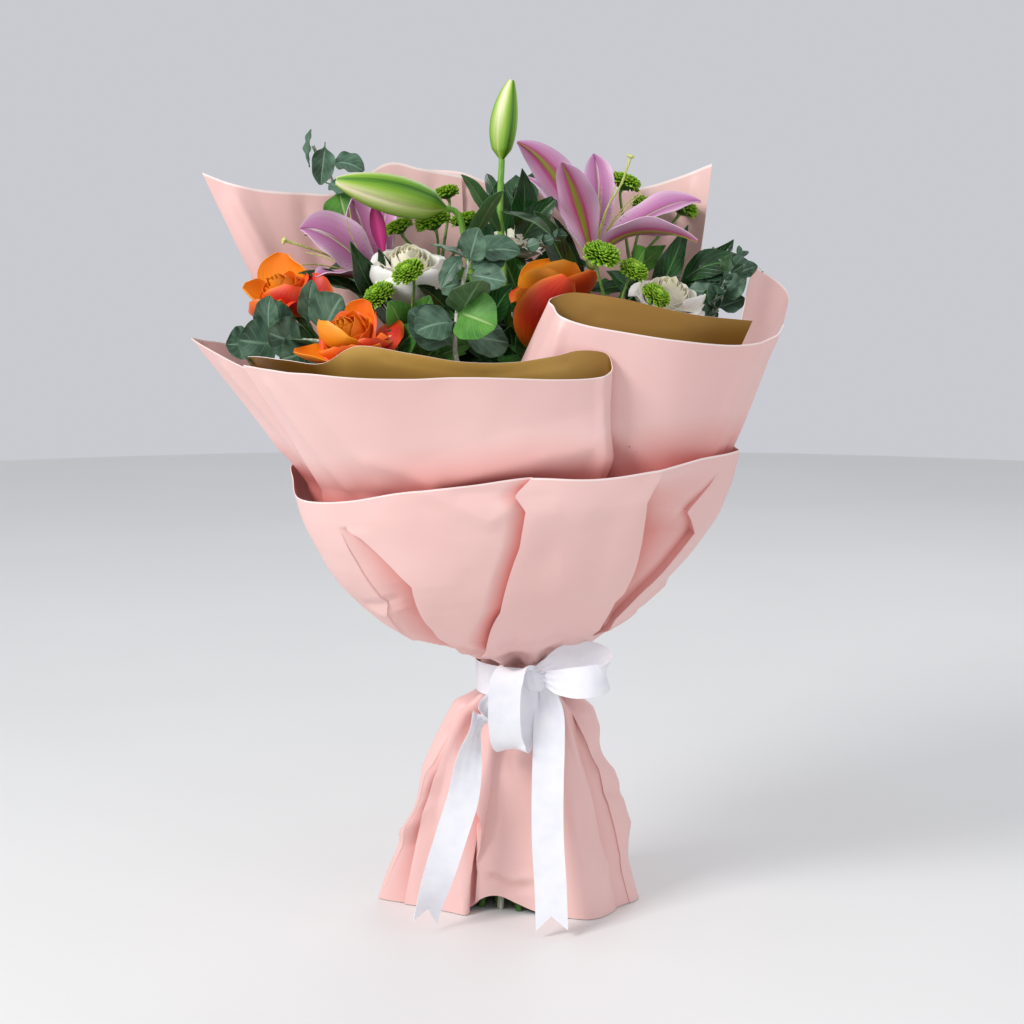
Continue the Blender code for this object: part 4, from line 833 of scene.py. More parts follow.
def winding_tree(name):
    """Cord wound in close turns round the tie."""
    tree, given = new_tree(name, ("Turns", "Float", 3.0), ("Radius", "Float", .017),
                           ("Pitch", "Float", .0008), ("Cord", "Float", .0004))
    coil = first(tree, "GeometryNodeCurveSpiral", {
        "Resolution": 48, "Rotations": given["Turns"], "Start Radius": given["Radius"],
        "End Radius": given["Radius"], "Height": calc(tree, "MULTIPLY", given["Turns"], given["Pitch"])})
    ring = first(tree, "GeometryNodeCurvePrimitiveCircle", {"Resolution": 8, "Radius": given["Cord"]})
    return finish_tree(tree, given, first(tree, "GeometryNodeCurveToMesh", {
        "Curve": coil, "Profile Curve": ring, "Fill Caps": True}))


def polylines(paths):
    """Mesh of polylines in metres from (points, thicknesses) in millimetres."""
    points, edges, sizes = [], [], []
    for line, thickness in paths:
        start = len(points)
        points += [tuple(np.asarray(p, float) * MM) for p in line]
        edges += [(start + i, start + i + 1) for i in range(len(line) - 1)]
        sizes += [t * MM for t in thickness]
    mesh = bpy.data.meshes.new("lines")
    mesh.from_pydata(points, edges, [])
    mesh.attributes.new("thickness", "FLOAT", "POINT").data.foreach_set("value", sizes)
    return mesh


def placed(name, data):
    """Object of this data, linked to the scene."""
    thing = bpy.data.objects.new(name, data)
    bpy.context.scene.collection.objects.link(thing)
    return thing


def pattern(name, build):
    """Hidden object that a tree sets out in copies."""
    thing = placed(name, build.mesh(name))
    thing.hide_render = True
    return thing


def bars(lines, sides, step, material):
    """Mesh of round bars along lines of (points, thicknesses)."""
    return grown(polylines(lines), stock(bars_tree, "Bars along paths"), sides=sides, step=step,
                 material=material)


def piece(name, build, materials, nodes):
    """Finished object for the gathered shapes: it rides on the body and stands for its nodes."""
    mesh = build.mesh(name)
    for material in materials:
        mesh.materials.append(material)
    thing = placed(name, mesh)
    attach(thing, "root")
    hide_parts(*nodes)
    return thing


STOCK = {}


def stock(maker, name, *values, **options):
    """Material or tree of this name, made once."""
    if name not in STOCK:
        STOCK[name] = maker(name, *values, **options)
    return STOCK[name]


def opened(z, side):
    """Share of its opening that the collar has at a height, rounded over the table's corners."""
    shares = 0
    for step in (-.09, -.045, 0, .045, .09):
        at = np.clip(z + step * np.clip(4 * np.minimum(z, 1 - z), 0, 1), 0, 1)
        shares = shares + table_value(OPEN_LEFT, at) * (1 - side) + table_value(OPEN_RIGHT, at) * side
    return shares / 5


def wrap_surface(angle, v):
    """Points of the outer wrap: degrees round the tie, v from -1 (hem) over 0 (neck) to 1 (rim)."""
    angle, v = np.broadcast_arrays(np.asarray(angle, float), np.asarray(v, float))
    calm = 1 - .75 * np.exp(-(((angle - SEAM + 180) % 360 - 180) / 14) ** 2)
    pleat = 7.1 * calm * np.cos(np.radians(10 * (angle - SEAM)))
    lift = 1.9 * np.clip((angle - SEAM - 324) / 36, 0, 1)
    hem = at_angle(HEM_LINE, angle)
    s = np.clip((-v - .1) / .9, 0, 1)
    foot = np.stack([hem[..., 0], hem[..., 1], 0 * s], -1)
    out = unit(foot + (4, 0, 0))
    neck = around(angle, WRAP_NECK + lift + pleat * np.clip(1 - s * 1.6, 0, 1), NECK_LOW)
    skirt = neck + (foot + out * lift[..., None] - neck) * (s**.72)[..., None]
    skirt[..., 2] = NECK_LOW + (np.maximum(hem[..., 2], 0) - NECK_LOW) * s
    band = around(angle, WRAP_NECK + lift + pleat,
                  NECK_LOW + (NECK_HIGH - NECK_LOW) * (v + .1) / .2)
    s = np.clip((v - .1) / .9, 0, 1)
    rim = at_angle(RIM, angle)
    side = .5 + .5 * np.cos(np.radians(angle))
    radius = (WRAP_NECK + pleat * np.clip(1 - s * 3.2, 0, 1)
              + (rim[..., 0] - WRAP_NECK) * opened(s, side))
    collar = around(angle, radius + lift, NECK_HIGH + (rim[..., 1] - NECK_HIGH) * s)
    v = v[..., None]
    return np.where(v < -.1, skirt, np.where(v < .1, band, collar))


def sheet_surface(columns, levels):
    """Grid of an inner sheet: smooth across its columns, from the neck to its top edge."""
    t = np.linspace(0, len(columns) - 1, (len(columns) - 1) * PER_COLUMN + 1)
    c = through(columns, t)
    x, y, z, neck, share = c.T
    angle = np.degrees(np.arctan2(y - TIE[1], x - TIE[0]))
    rim = share * at_angle(RIM, angle)[:, 0]
    side = .5 + .5 * np.cos(np.radians(angle))
    reach = (RIM_Z - NECK_HIGH) / (at_angle(RIM, angle)[:, 1] - NECK_HIGH)
    rows = []
    for v in levels:
        if v < .1:
            rows.append(around(angle, neck, NECK_LOW + (NECK_HIGH - NECK_LOW) * v / .1))
        elif v < .6:
            s = (v - .1) / .5
            bowl = (opened(s * reach, side) / opened(reach, side)) ** 1.25
            rows.append(around(angle, neck + (rim - neck) * bowl, NECK_HIGH + (RIM_Z - NECK_HIGH) * s))
        else:
            low = around(angle, rim, RIM_Z)
            rows.append(low + (c[:, :3] - low) * (v - .6) / .4)
    return np.stack(rows)


def off_line(points, line):
    """Distance of every point of a grid from a line through a few points."""
    line = np.asarray(line, float)
    steps = np.linspace(0, len(line) - 1, 14 * (len(line) - 1) + 1)
    dense = np.stack([np.interp(steps, np.arange(len(line)), line[:, k]) for k in range(3)], 1)
    return np.stack([np.linalg.norm(points - p, axis=-1) for p in dense]).min(0)


def creases(points, lines):
    """Height of the creases: tents of a height and half width along lines of 3-D points."""
    height = np.zeros(points.shape[:-1])
    for line, rise, reach in lines:
        height += rise * np.clip(1 - off_line(points, line) / reach, 0, 1) ** 1.35
    return height


def wrap_folds(u, v):
    """Grid of the outer wrap with its laid-over folds and creases, calm normals, and how strong the
    painted shade is in the hollows beside the folds.

    Columns u are degrees; they lean so that a column runs down each line of FOLDS.
    """
    marks = np.array([SEAM] + [f[0] for f in FOLDS] + [480.0])
    shift = np.stack([np.zeros(len(v))] + [table_value(f[1], v) - f[0] for f in FOLDS]
                     + [np.zeros(len(v))])
    depth = np.zeros((len(v), len(u)))
    angle = u[None] + np.stack([np.interp(u, marks, shift[:, k]) for k in range(len(v))])
    rows = np.broadcast_to(v[:, None], angle.shape)
    base = wrap_surface(angle, rows)
    out = normals_of(base)
    side = unit(np.cross((0, 0, 1.0), out))
    reach = np.linalg.norm(base[..., :2] - TIE[:2], axis=-1) * math.pi / 180
    height = np.zeros(angle.shape)
    lap = np.zeros(angle.shape)
    lines = [table_value(f[1], v)[:, None] for f in FOLDS]
    for k, (mark, _, amount, top, lift, sink, width, over) in enumerate(FOLDS):
        share = table_value(amount, v)[:, None]
        away = (angle - lines[k]) * reach * top
        on_top = (u[None] - mark) * top >= -1e-6
        span = width if width else np.abs(lines[k - top] - lines[k]) * reach + .01
        low = sink * np.clip(1 + away / span, 0, 1)
        # Painted shadow beside each laid-over fold: strongest at the edge of the panel on top, fading
        # across the hollow
        depth = np.maximum(depth, share * np.where(on_top, 0, (1.25 * low / (sink + 1.6)).clip(0, 1)))
        height += share * np.where(on_top, lift * np.exp(-(away / 17) ** 2), -low)
        lap -= share * top * over * np.where(on_top, np.exp(-(away / 12) ** 2), 0)
    height += creases(base, [(wrap_surface([a for a, _ in line], [b for _, b in line]), rise, wide)
                             for line, rise, wide in CREASES])
    held = np.clip((np.abs(v) - .11) / .07, 0, 1)[:, None]
    return (base + out * (height * held)[..., None] + side * (lap * held)[..., None], out,
            depth * held)


def rose_shapes(build, centre, axis, radius, petals, seed, open_lip=1.0):
    """Rose of petals set by the golden angle: a tight spiral core and wide rolled outer petals."""
    rng = np.random.default_rng(seed)
    x, y, z = axes_of(axis)
    base = np.asarray(centre, float) - z * .62 * radius
    t, u = np.linspace(0, 1, 15)[:, None], np.linspace(-1, 1, 13)[None]
    for k in range(petals):
        f = k / (petals - 1)
        belly, lip = .13 + .80 * f**.85, .07 + 1.02 * open_lip * f**1.25
        top = 1.30 - .50 * f**1.6 + rng.uniform(-.04, .04)
        half = 2.3 - 1.35 * f**.5
        curl, point = .30 * f**2, rng.uniform(.02, .10)
        rh = bezier([(.08, .05), (belly * 1.12, .14), (belly, .62), (lip, top)], t)
        r, h = rh[..., 0] * radius, rh[..., 1] * radius
        share = np.sin(math.pi * (.06 + .60 * t**.9)) ** .8
        fold = np.clip((t - .70) / .30, 0, 1) ** 1.5
        h = h - radius * (.26 * np.abs(u) ** 3 * t**2 + .8 * curl * fold) \
            + radius * point * np.exp(-(u / .2) ** 2) * t**4
        wave = radius * .035 * np.sin(u * rng.uniform(4, 7) + rng.uniform(0, 6)) * t**3
        r = r * (1 + .05 * u) + radius * curl * fold * (1 - .3 * u**2) + wave * (.3 + f)
        a = k * GOLDEN_ANGLE + rng.uniform(-.12, .12) + u * half * share
        grid = (base + (x * np.cos(a)[..., None] + y * np.sin(a)[..., None]) * r[..., None]
                + z * h[..., None])
        thick = (.75 - .4 * t**2) * np.ones_like(u)
        skin(build, grid, thick, (0, 1, 1), tone=f)


# Large petals of the roses: spine from the base, width, way that the inner face looks, tone
PETALS = {
    "orange_1": [
        ([(-113, -77, 455), (-113, -76, 476), (-108, -82, 492)], 30, (-.5, -.8, .2), .7),
        ([(-112, -77, 455), (-96, -94, 470), (-84, -94, 462)], 38, (.3, .7, -.5), 1),
        ([(-115, -80, 452), (-142, -104, 452), (-142, -106, 479)], 44, (.7, .5, .3), .25),
        ([(-116, -80, 450), (-140, -98, 440), (-163, -102, 455)], 34, (.1, -.2, .95), .45),
        ([(-114, -82, 450), (-122, -112, 440), (-126, -116, 460)], 46, (.2, .8, .5), .8),
        ([(-112, -80, 452), (-104, -110, 446), (-104, -110, 466)], 40, (-.4, .8, .4), 1)],
    "orange_2": [
        ([(-170, -14, 482), (-180, 2, 505), (-179, -6, 526)], 38, (-.3, -.85, .4), .4),
        ([(-172, -14, 481), (-194, -20, 484), (-209, -28, 500)], 36, (.4, -.4, .8), .3),
        ([(-168, -13, 481), (-156, -30, 500), (-148, -26, 510)], 34, (.5, .7, -.1), 1),
        ([(-170, -18, 478), (-174, -46, 474), (-168, -46, 502)], 44, (.1, .9, .3), 1),
        ([(-172, -18, 478), (-196, -42, 470), (-201, -40, 490)], 38, (.5, .6, .5), .75),
        ([(-168, -16, 478), (-152, -36, 474), (-149, -36, 492)], 34, (-.6, .6, .4), 1)],
    "orange_3": [
        ([(20, -26, 452), (22, -62, 470), (44, -54, 508)], 44, (-.25, .9, .3), 1),
        ([(22, -22, 468), (10, -42, 484), (8, -44, 500)], 28, (.5, .6, .4), .5),
        ([(28, -22, 476), (26, -48, 498), (32, -44, 514)], 40, (0, .8, .6), .25),
        ([(27, -20, 474), (40, -34, 500), (46, -34, 520)], 40, (-.4, .7, .5), .12),
        ([(30, -20, 474), (50, -34, 486), (64, -44, 513)], 34, (-.6, .6, .4), .9),
        ([(26, -16, 476), (28, 2, 498), (36, 2, 519)], 44, (-.1, -.9, .4), .1)],
    "white_1": [
        ([(-79, -18, 486), (-58, -38, 484), (-55, -38, 514)], 46, (-.5, .7, .4), 1),
        ([(-80, -14, 494), (-53, -16, 498), (-53, -20, 522)], 30, (-.8, .2, .4), 1),
        ([(-84, -18, 490), (-108, -30, 496), (-108, -28, 516)], 36, (.7, .5, .4), .9),
        ([(-80, -20, 486), (-80, -46, 486), (-80, -44, 512)], 44, (0, .9, .3), 1)],
    "white_2": [([(6, 38, 522), (-12, 28, 524), (-14, 28, 542)], 28, (.8, .3, .4), .8)],
    "white_3": [([(120, -18, 472), (146, -26, 478), (150, -28, 494)], 34, (-.8, .3, .5), 1)],
}
# More leaves of a stem: spine, width, way that the upper side looks, whether it is a textured one
MORE_LEAVES = {
    "eucalyptus_1": [
        ([(-163, 48, 593), (-165, 44, 608), (-161, 44, 623)], 11, (-.85, -.5, .1), 0),
        ([(-150, 48, 613), (-151, 43, 598), (-154, 44, 579)], 19, (.3, -.95, .1), 0),
        ([(-148, 49, 596), (-133, 46, 600), (-119, 46, 590)], 23, (-.1, -.6, .8), 0),
        ([(-150, 48, 581), (-139, 42, 578), (-127, 40, 574)], 20, (0, -.6, .8), 0),
        ([(-140, 50, 578), (-137, 42, 561), (-129, 42, 539)], 31, (0, -.95, .2), 1)],
    "eucalyptus_2": [
        ([(-196, -46, 462), (-206, -54, 457), (-219, -56, 458)], 27, (-.1, -.95, .3), 0),
        ([(-176, -49, 459), (-192, -60, 458), (-209, -64, 462)], 38, (-.1, -.95, .3), 0),
        ([(-158, -50, 458), (-170, -62, 460), (-186, -68, 468)], 36, (.1, -.9, .4), 0),
        ([(-150, -52, 458), (-160, -70, 450), (-176, -74, 448)], 32, (0, -.9, .4), 0),
        ([(-146, -52, 462), (-140, -62, 480), (-129, -70, 495)], 40, (-.1, -.9, .4), 0),
        ([(-186, -49, 461), (-188, -58, 478), (-184, -62, 495)], 22, (-.3, -.9, .2), 0),
        ([(-156, -50, 470), (-156, -60, 488), (-152, -62, 507)], 17, (.1, -.9, .3), 0),
        ([(-168, -49, 460), (-180, -50, 480), (-196, -50, 486)], 26, (-.1, -.9, .3), 0)],
    "eucalyptus_3": [
        ([(-42, -84, 484), (-30, -100, 482), (-12, -101, 474)], 40, (0, -.9, .35), 1),
        ([(-40, -80, 476), (-58, -96, 478), (-72, -98, 470)], 30, (-.1, -.9, .4), 0),
        ([(-32, -74, 526), (-12, -70, 534), (6, -66, 528)], 24, (.1, -.8, .6), 0),
        ([(-35, -76, 527), (-46, -82, 520), (-53, -84, 502)], 14, (-.3, -.9, .2), 0)],
    "spray_1": [
        ([(-80, -48, 458), (-82, -78, 474), (-92, -86, 492)], 26, (.2, -.9, .3), 1),
        ([(-78, -46, 462), (-66, -74, 476), (-62, -82, 496)], 22, (-.3, -.9, .3), 1)],
    "spray_3": [([(98, 40, 500), (96, 10, 515), (104, -8, 530)], 24, (-.1, -.8, .5), 1)],
    "spray_4": [([(80, -46, 466), (92, -60, 478), (108, -66, 484)], 22, (0, -.8, .6), 1),
                ([(76, -44, 470), (58, -58, 482), (44, -62, 496)], 20, (.2, -.8, .5), 1)],
    "lily_2": [
        ([(-98, 10, 478), (-114, -18, 500), (-125, -30, 536)], 24, (.5, -.8, .1), 0),
        ([(-104, 10, 484), (-140, -14, 512), (-166, -24, 511)], 17, (.1, -.6, .8), 0),
        ([(-96, 12, 480), (-92, -8, 505), (-104, -20, 530)], 22, (-.4, -.9, .1), 0)],
    "foliage": [
        ([(0, 30, 520), (14, 20, 552), (38, 14, 572)], 24, (.2, -.9, .4), 0),
        ([(0, 34, 520), (-22, 18, 545), (-36, 10, 536)], 24, (-.1, -.7, .7), 0),
        ([(4, 40, 530), (14, 30, 562), (8, 26, 592)], 22, (.2, -.95, 0), 0),
        ([(2, 40, 520), (-14, 34, 556), (-8, 30, 588)], 22, (-.3, -.9, 0), 0),
        ([(104, 15, 468), (126, 2, 515), (138, -4, 548)], 22, (-.3, -.9, .2), 0),
        ([(128, 12, 492), (150, 4, 532), (198, 0, 511)], 26, (-.1, -.8, .6), 0),
        ([(122, 12, 484), (152, 0, 506), (182, -6, 498)], 30, (0, -.8, .6), 0),
        ([(110, 14, 474), (96, 0, 500), (74, -10, 512)], 26, (.1, -.8, .6), 0),
        ([(130, 14, 492), (160, 22, 510), (176, 18, 536)], 26, (.1, -.9, .3), 0),
        ([(84, 16, 440), (120, -6, 462), (150, -20, 470)], 34, (0, -.6, .8), 0),
        ([(6, 62, 470), (40, 0, 478), (60, -24, 496)], 30, (-.2, -.8, .6), 0),
        ([(4, 62, 460), (-30, 4, 490), (-44, -24, 505)], 32, (.1, -.8, .6), 0)],
}
# Twigs with small round leaves: stem that they leave, then their points
TWIGS = [("eucalyptus_3", [(-32, -75, 524), (-10, -64, 528), (12, -56, 532), (34, -50, 540)]),
         ("eucalyptus_4", [(156, 0, 470), (160, -12, 492), (168, -18, 508), (176, -18, 522)])]
# Outlines of petals and leaves: share of the half width from the foot to the tip
CUPPED = (.34, .66, .94, 1.08, 1.10, 1.02, .80, .30)
TEPAL = (.34, .42, .72, .96, 1.02, .92, .62, .06)
GLOSSY = (.04, .10, .66, .98, .94, .70, .36, .02)
ROUND = (.05, .08, .78, .99, 1.0, .90, .66, .12)
SLIM = (.12, .6, .92, 1.0, .92, .72, .4, .02)
# Leaf by kind of stem: width by length, outline, cup, groove, ruffle, waves, rows, columns
LEAF_FORMS = {"lily": (.2, SLIM, .22, .5, .5, 3, 20, 9),
              "eucalyptus": (.74, ROUND, .14, .3, .9, 3, 20, 13),
              "spray": (.5, GLOSSY, .2, .5, 1.6, 4, 18, 11),
              "rose": (.52, GLOSSY, .25, .6, .8, 3, 22, 13),
              "foliage": (.42, GLOSSY, .25, .6, .8, 3, 22, 13)}
# Ribbon runs: points with the width there, directions across, whether it closes, seed
RIBBON = [
    ([(13, -49, 200, 16), (3, -59, 203, 23), (-4, -64, 196, 25), (-6, -66, 182, 25),
      (-6, -66, 164, 25), (-4, -62, 147, 25), (1, -55, 140, 25), (5, -50, 147, 25),
      (7, -48.5, 165, 25), (9, -47.6, 184, 24), (13, -47, 195, 17)],
     [(.96, 0, .3), (.98, 0, .2)] + [(1, 0, .04)] * 7 + [(.98, 0, .16)] * 2, True, .4),
    ([(23, -49, 200, 13), (31, -52, 204, 19), (42, -53, 210, 24), (55, -54, 213, 25),
      (66, -58, 212, 25), (73, -64, 207, 25), (71, -71, 200, 25), (60, -75, 198, 25),
      (47, -71, 196, 24), (34, -62, 195, 19), (26, -52, 196, 13)],
     [(-.3, .12, .95), (-.3, .2, .9), (-.3, .3, .88), (-.2, .3, .92), (-.05, .25, .95),
      (.08, .2, .97), (.1, .15, .98), (.03, .12, .98), (-.1, .12, .98), (-.2, .12, .97),
      (-.25, .12, .96)], True, 2.0),
    ([(14, -44.8, 194, 8), (5, -44.8, 188, 14), (-7, -46, 179, 19), (-18, -48, 171, 20),
      (-25, -51, 164, 17), (-29, -53, 154, 17), (-33, -55, 137, 22), (-38, -61, 104, 25),
      (-46, -68, 78, 25), (-56, -77, 48, 25), (-64, -85, 24, 25), (-68, -89, 9, 25)],
     [(.3, 0, .95), (.4, 0, .9), (.45, .05, .9), (.5, .1, .85), (.62, .3, .7), (.6, .75, .2),
      (.78, .55, .25), (.93, .25, .25), (.95, .12, .28), (.88, .35, .32), (.75, .55, .35),
      (.68, .6, .38)], False, 3.1),
    ([(19, -45, 195, 8), (22, -45, 189, 12), (26, -46, 180, 19), (29, -49, 165, 24),
      (29, -54, 142, 25), (28, -63, 108, 25), (28, -75, 73, 25), (30, -88, 38, 25),
      (31, -99, 6, 25)], [(1, 0, .05)] * 9, False, 4.4)]


def lily_shapes(build, name):
    """Lily: recurved tepals with a grooved midrib and ruffled edges round a small throat."""
    centre, face = THROATS[name]
    ball(build, centre, axes_of(face), 5.5, 6.5, 12, 24, 2, .08)
    for k, (spine, width, look) in enumerate(LILIES[name]):
        blade(build, spine, width, look, TEPAL, (0, 1, 0), cup=.26, groove=1.3, ruffle=1.6,
              waves=2.4, thick=.7, rows=36, cols=17, phase=1.7 * k)


def bud_shape(build, spine, radius):
    """Closed bud: three broad ribs with a groove between each two, drawn along a bent spine."""
    t = 1 - np.linspace(.012, 1.01, 40)
    line = bezier(spine, t)
    run = unit(bezier(spine, np.minimum(1, t + .02)) - bezier(spine, np.maximum(0, t - .02)))
    side = unit(np.cross(run, (0, 1, 0)))
    up = np.cross(run, side)
    a = np.linspace(0, 2 * math.pi, 54, endpoint=False)
    r = radius * np.sin(math.pi * (.06 + .92 * t)) ** .62 * (.82 + .25 * (1 - t))
    r *= .42 + .58 * np.clip(t / .12, 0, 1) ** .7
    r = r[:, None] * (1 + .06 * np.cos(3 * a) - .07 * np.exp(-(np.cos(1.5 * a) / .16) ** 2)
                      - .045 * np.exp(-(np.sin(1.5 * a) / .10) ** 2))
    grid = line[:, None] + side[:, None] * (r * np.cos(a))[..., None] \
        + up[:, None] * (r * np.sin(a))[..., None]
    bulb(build, grid, 0)


def assign():
    """Give every stem a place in the tie so that the stems need not cross."""
    places = [complex(PITCH * (i + j / 2), PITCH * j * math.sqrt(3) / 2)
              for i in range(-2, 3) for j in range(-2, 3) if abs(i + j) <= 2]
    names = list(STEMS)
    aims = [complex(STEMS[n][1][0][0] - TIE[0], STEMS[n][1][0][1] - TIE[1]) for n in names]
    aims = [a / max(1.0, abs(a)) * min(abs(a), 130.0) for a in aims]
    order, better = list(range(len(names))), True
    while better:
        better = False
        for a in range(len(names)):
            for b in range(a + 1, len(names)):
                gap = places[order[a]] - places[order[b]]
                if (gap * (aims[b] - aims[a]).conjugate()).real > 1e-9:
                    order[a], order[b] = order[b], order[a]
                    better = True
    return {n: places[order[k]] for k, n in enumerate(names)}


def rose_base(name):
    centre, axis, radius = ROSES[name]
    return np.array(centre, float) - unit(axis) * .62 * radius, unit(axis)


def stem_paths():
    """Centre lines of all stems: a twisted spread below the tie and eased curves above it."""
    places = assign()
    names = list(STEMS)
    ends = {n: [np.array(p, float) for p in STEMS[n][1]] for n in names}
    for n in names:
        if STEMS[n][0] == "rose":
            base, axis = rose_base(n[5:])
            ends[n] = [base - axis * 9]
    for n, (centre, face) in THROATS.items():
        ends[n][-1] = np.array(centre, float) - unit(face) * 6.85
    for n in ("lily_bud_1", "lily_bud_2"):
        spine = [np.array(p, float) for p in BUDS["bud_lily_" + n[-1]][0]]
        ends[n][-1] = spine[0] - unit(spine[1] - spine[0]) * .35
    levels = [203, 226, 256, 292, 334, 382, 434]
    above = {}
    for n in names:
        aim = ends[n][0]
        start = np.array((TIE[0] + places[n].real, TIE[1] + places[n].imag))
        above[n] = [[*(start + (aim[:2] - start) * ((z - TIE_Z) / (aim[2] - TIE_Z)) ** 1.35), z]
                    for z in levels if z < aim[2] - 20]
    for _ in range(60):
        for k in range(len(levels)):
            here = [n for n in names if len(above[n]) > k]
            for i, a in enumerate(here):
                for b in here[i + 1:]:
                    pa, pb = above[a][k], above[b][k]
                    dx, dy = pb[0] - pa[0], pb[1] - pa[1]
                    d = math.hypot(dx, dy)
                    want = RADIUS[STEMS[a][0]] + RADIUS[STEMS[b][0]] + (.4 if k == 0 else 1.6)
                    if d < want:
                        s = .5 * (want - d) / max(d, 1e-6)
                        pa[0], pa[1] = pa[0] - dx * s, pa[1] - dy * s
                        pb[0], pb[1] = pb[0] + dx * s, pb[1] + dy * s
    paths = {}
    for n in names:
        below = []
        for t in (1.0, .66, .33, .08):
            q = places[n] * ((1 - t) + t * SPREAD * complex(math.cos(TWIST), math.sin(TWIST)))
            below.append((TIE[0] * (1 - t) + q.real, q.imag, TIE_Z * (1 - t)))
        tie = (TIE[0] + places[n].real, TIE[1] + places[n].imag, TIE_Z)
        paths[n] = [np.array(p, float) for p in below + [tie] + above[n] + ends[n]]
    return paths


def at_height(path, z):
    """Point of a stem's centre line at a height; a drooping end counts by its rise."""
    for a, b in zip(path, path[1:]):
        if b[2] >= z >= a[2]:
            return a + (b - a) * (z - a[2]) / max(b[2] - a[2], 1e-6)
    return path[-1]


def head_axis(centre):
    """Button heads look away from the middle of the bouquet."""
    return unit(np.array(centre, float) - np.array((5, 20, 345)))


def leaf_shape(build, kind, start, azimuth, rise, length, front, phase):
    """One leaf with its stalk, from a point of the stem; slots are upper, under side and edge."""
    a, e = math.radians(azimuth), math.radians(rise)
    way = np.array((math.cos(a) * math.cos(e), math.sin(a) * math.cos(e), math.sin(e)))
    up = np.array((0, 0, 1.0))
    face = np.array((-.1, -.85, .5)) if front else up
    face = unit(face - way * np.dot(face, way) * .98)
    if kind == "lily":
        spine = [start, start + way * .4 * length, start + way * .75 * length + up * .06 * length,
                 start + way * length - up * .06 * length]
    else:
        arch = {"eucalyptus": face * 1.5, "spray": up * 2}.get(kind, up * .08 * length)
        spine = [start, start + way * .5 * length + arch, start + way * length]
    wide, outline, cup, groove, ruffle, waves, rows, cols = LEAF_FORMS[kind]
    blade(build, spine, wide * length, face, outline, (1, 2, 2), cup=cup, groove=groove,
          ruffle=ruffle, waves=waves, rows=rows, cols=cols, phase=phase, tone=phase % 1)


def flat_ribbon(build, points, across, widths, closed, cup, seed, notch=0.0, start=0.0):
    """Ribbon along points, flat across the given directions; its UVs are in millimetres."""
    spans = len(points) - (not closed)
    t = np.linspace(0, spans, spans * 7 + 1)
    line = through(points, t, closed)
    side = through(np.asarray(across, float), t, closed)
    width = np.clip(through([[w] for w in widths], t, closed)[:, 0], 4, RIBBON_WIDTH + .4)
    if closed:
        run = unit(np.roll(line[:-1], -1, 0) - np.roll(line[:-1], 1, 0))
        run = np.vstack([run, run[:1]])
    else:
        run = unit(np.gradient(line, axis=0))
    side = unit(side - run * (side * run).sum(1)[:, None])
    normal = np.cross(run, side)
    length = np.concatenate([[0], np.cumsum(np.linalg.norm(np.diff(line, axis=0), axis=1))])
    u = np.linspace(-1, 1, 15)
    back = notch * (1 - np.abs(u)) * np.clip((length - length[-1] + 26) / 26, 0, 1)[:, None]
    tight = np.clip((RIBBON_WIDTH - width) / 14, 0, 1)[:, None]
    # Where the ribbon is gathered it stands in lengthwise pleats
    lift = cup * (u**2 - .4) + tight * 1.1 * np.sin(u * 9.5 + seed) \
        + .35 * np.sin(length[:, None] / 11 + seed + u * 1.5)
    grid = (line[:, None] + side[:, None] * (u * width[:, None] / 2)[..., None]
            + normal[:, None] * lift[..., None] - run[:, None] * back[..., None])
    if closed:
        grid = grid[:-1].transpose(1, 0, 2)
    place, across = start + length, u * RIBBON_WIDTH / 2
    u, v = (place, across) if closed else (across, place)
    skin(build, grid, RIBBON_THICK, (0, 0, 1), closed=closed, u=u, v=v)
    return length[-1]


def colour_property(name, text, description):
    return FloatVectorProperty(name=name, description=description, subtype="COLOR", size=3,
                               min=0, max=1, default=linear(text))


class PaperSettings(bpy.types.PropertyGroup):
    outside: colour_property("Outside", "#EFC6C0", "Colour of the outer side of the paper")
    shade: colour_property("Outside, clouds", "#ECBFB9", "Darker clouds of the outer side")
    # Painted shade: the colour that folds, doubled paper and inner faces are painted towards
    deep: colour_property("Outside, in folds", "#DC7F77", "Colour deep in folds and doubled paper")
    inside: colour_property("Inside", "#DFB462", "Colour of the gold side of the front sheets")
    # Also the colour of the painted highlight band along the top edge of the pink paper
    edge: colour_property("Cut edge", "#F9E6E1", "Colour of the cut edges")
    thickness: FloatProperty(name="Thickness", description="Thickness of the drawn sheets",
                             default=.0006, unit="LENGTH")
    crumple: FloatProperty(name="Crumple", description="Height of the soft dents", default=.0011,
                           unit="LENGTH")


class RibbonSettings(bpy.types.PropertyGroup):
    colour: colour_property("Colour", "#F2F2F6", "Colour of the satin")
    shade: colour_property("Shade", "#EDEDF4", "Darker clouds of the satin")


class FlowerSettings(bpy.types.PropertyGroup):
    rose_petals: IntProperty(name="Rose petals", description="Petals of one rose", default=20,
                             min=12, max=60)
    florets: IntProperty(name="Florets", description="Florets of one button head", default=190,
                         min=40, max=400)


class StageSettings(bpy.types.PropertyGroup):
    distance: FloatProperty(name="Distance", description="From the camera to the object's axis",
                            default=1.742, unit="LENGTH")
    height: FloatProperty(name="Height", description="Height of the camera", default=.571,
                          unit="LENGTH")
    aim: FloatProperty(name="Aim", description="Height that the camera looks at", default=.320,
                       unit="LENGTH")
    lens: FloatProperty(name="Lens", description="Focal length on a 36 mm sensor in mm",
                        default=2200 / 1024 * 36)


SETTINGS = {"bouquet_paper": PaperSettings, "bouquet_ribbon": RibbonSettings,
            "bouquet_flowers": FlowerSettings, "bouquet_stage": StageSettings}


def hex_of(colour):
    """sRGB hex text of a linear colour."""
    parts = [12.92 * c if c <= .0031308 else 1.055 * c ** (1 / 2.4) - .055 for c in colour]
    return "#" + "".join(f"{round(255 * p):02X}" for p in parts)


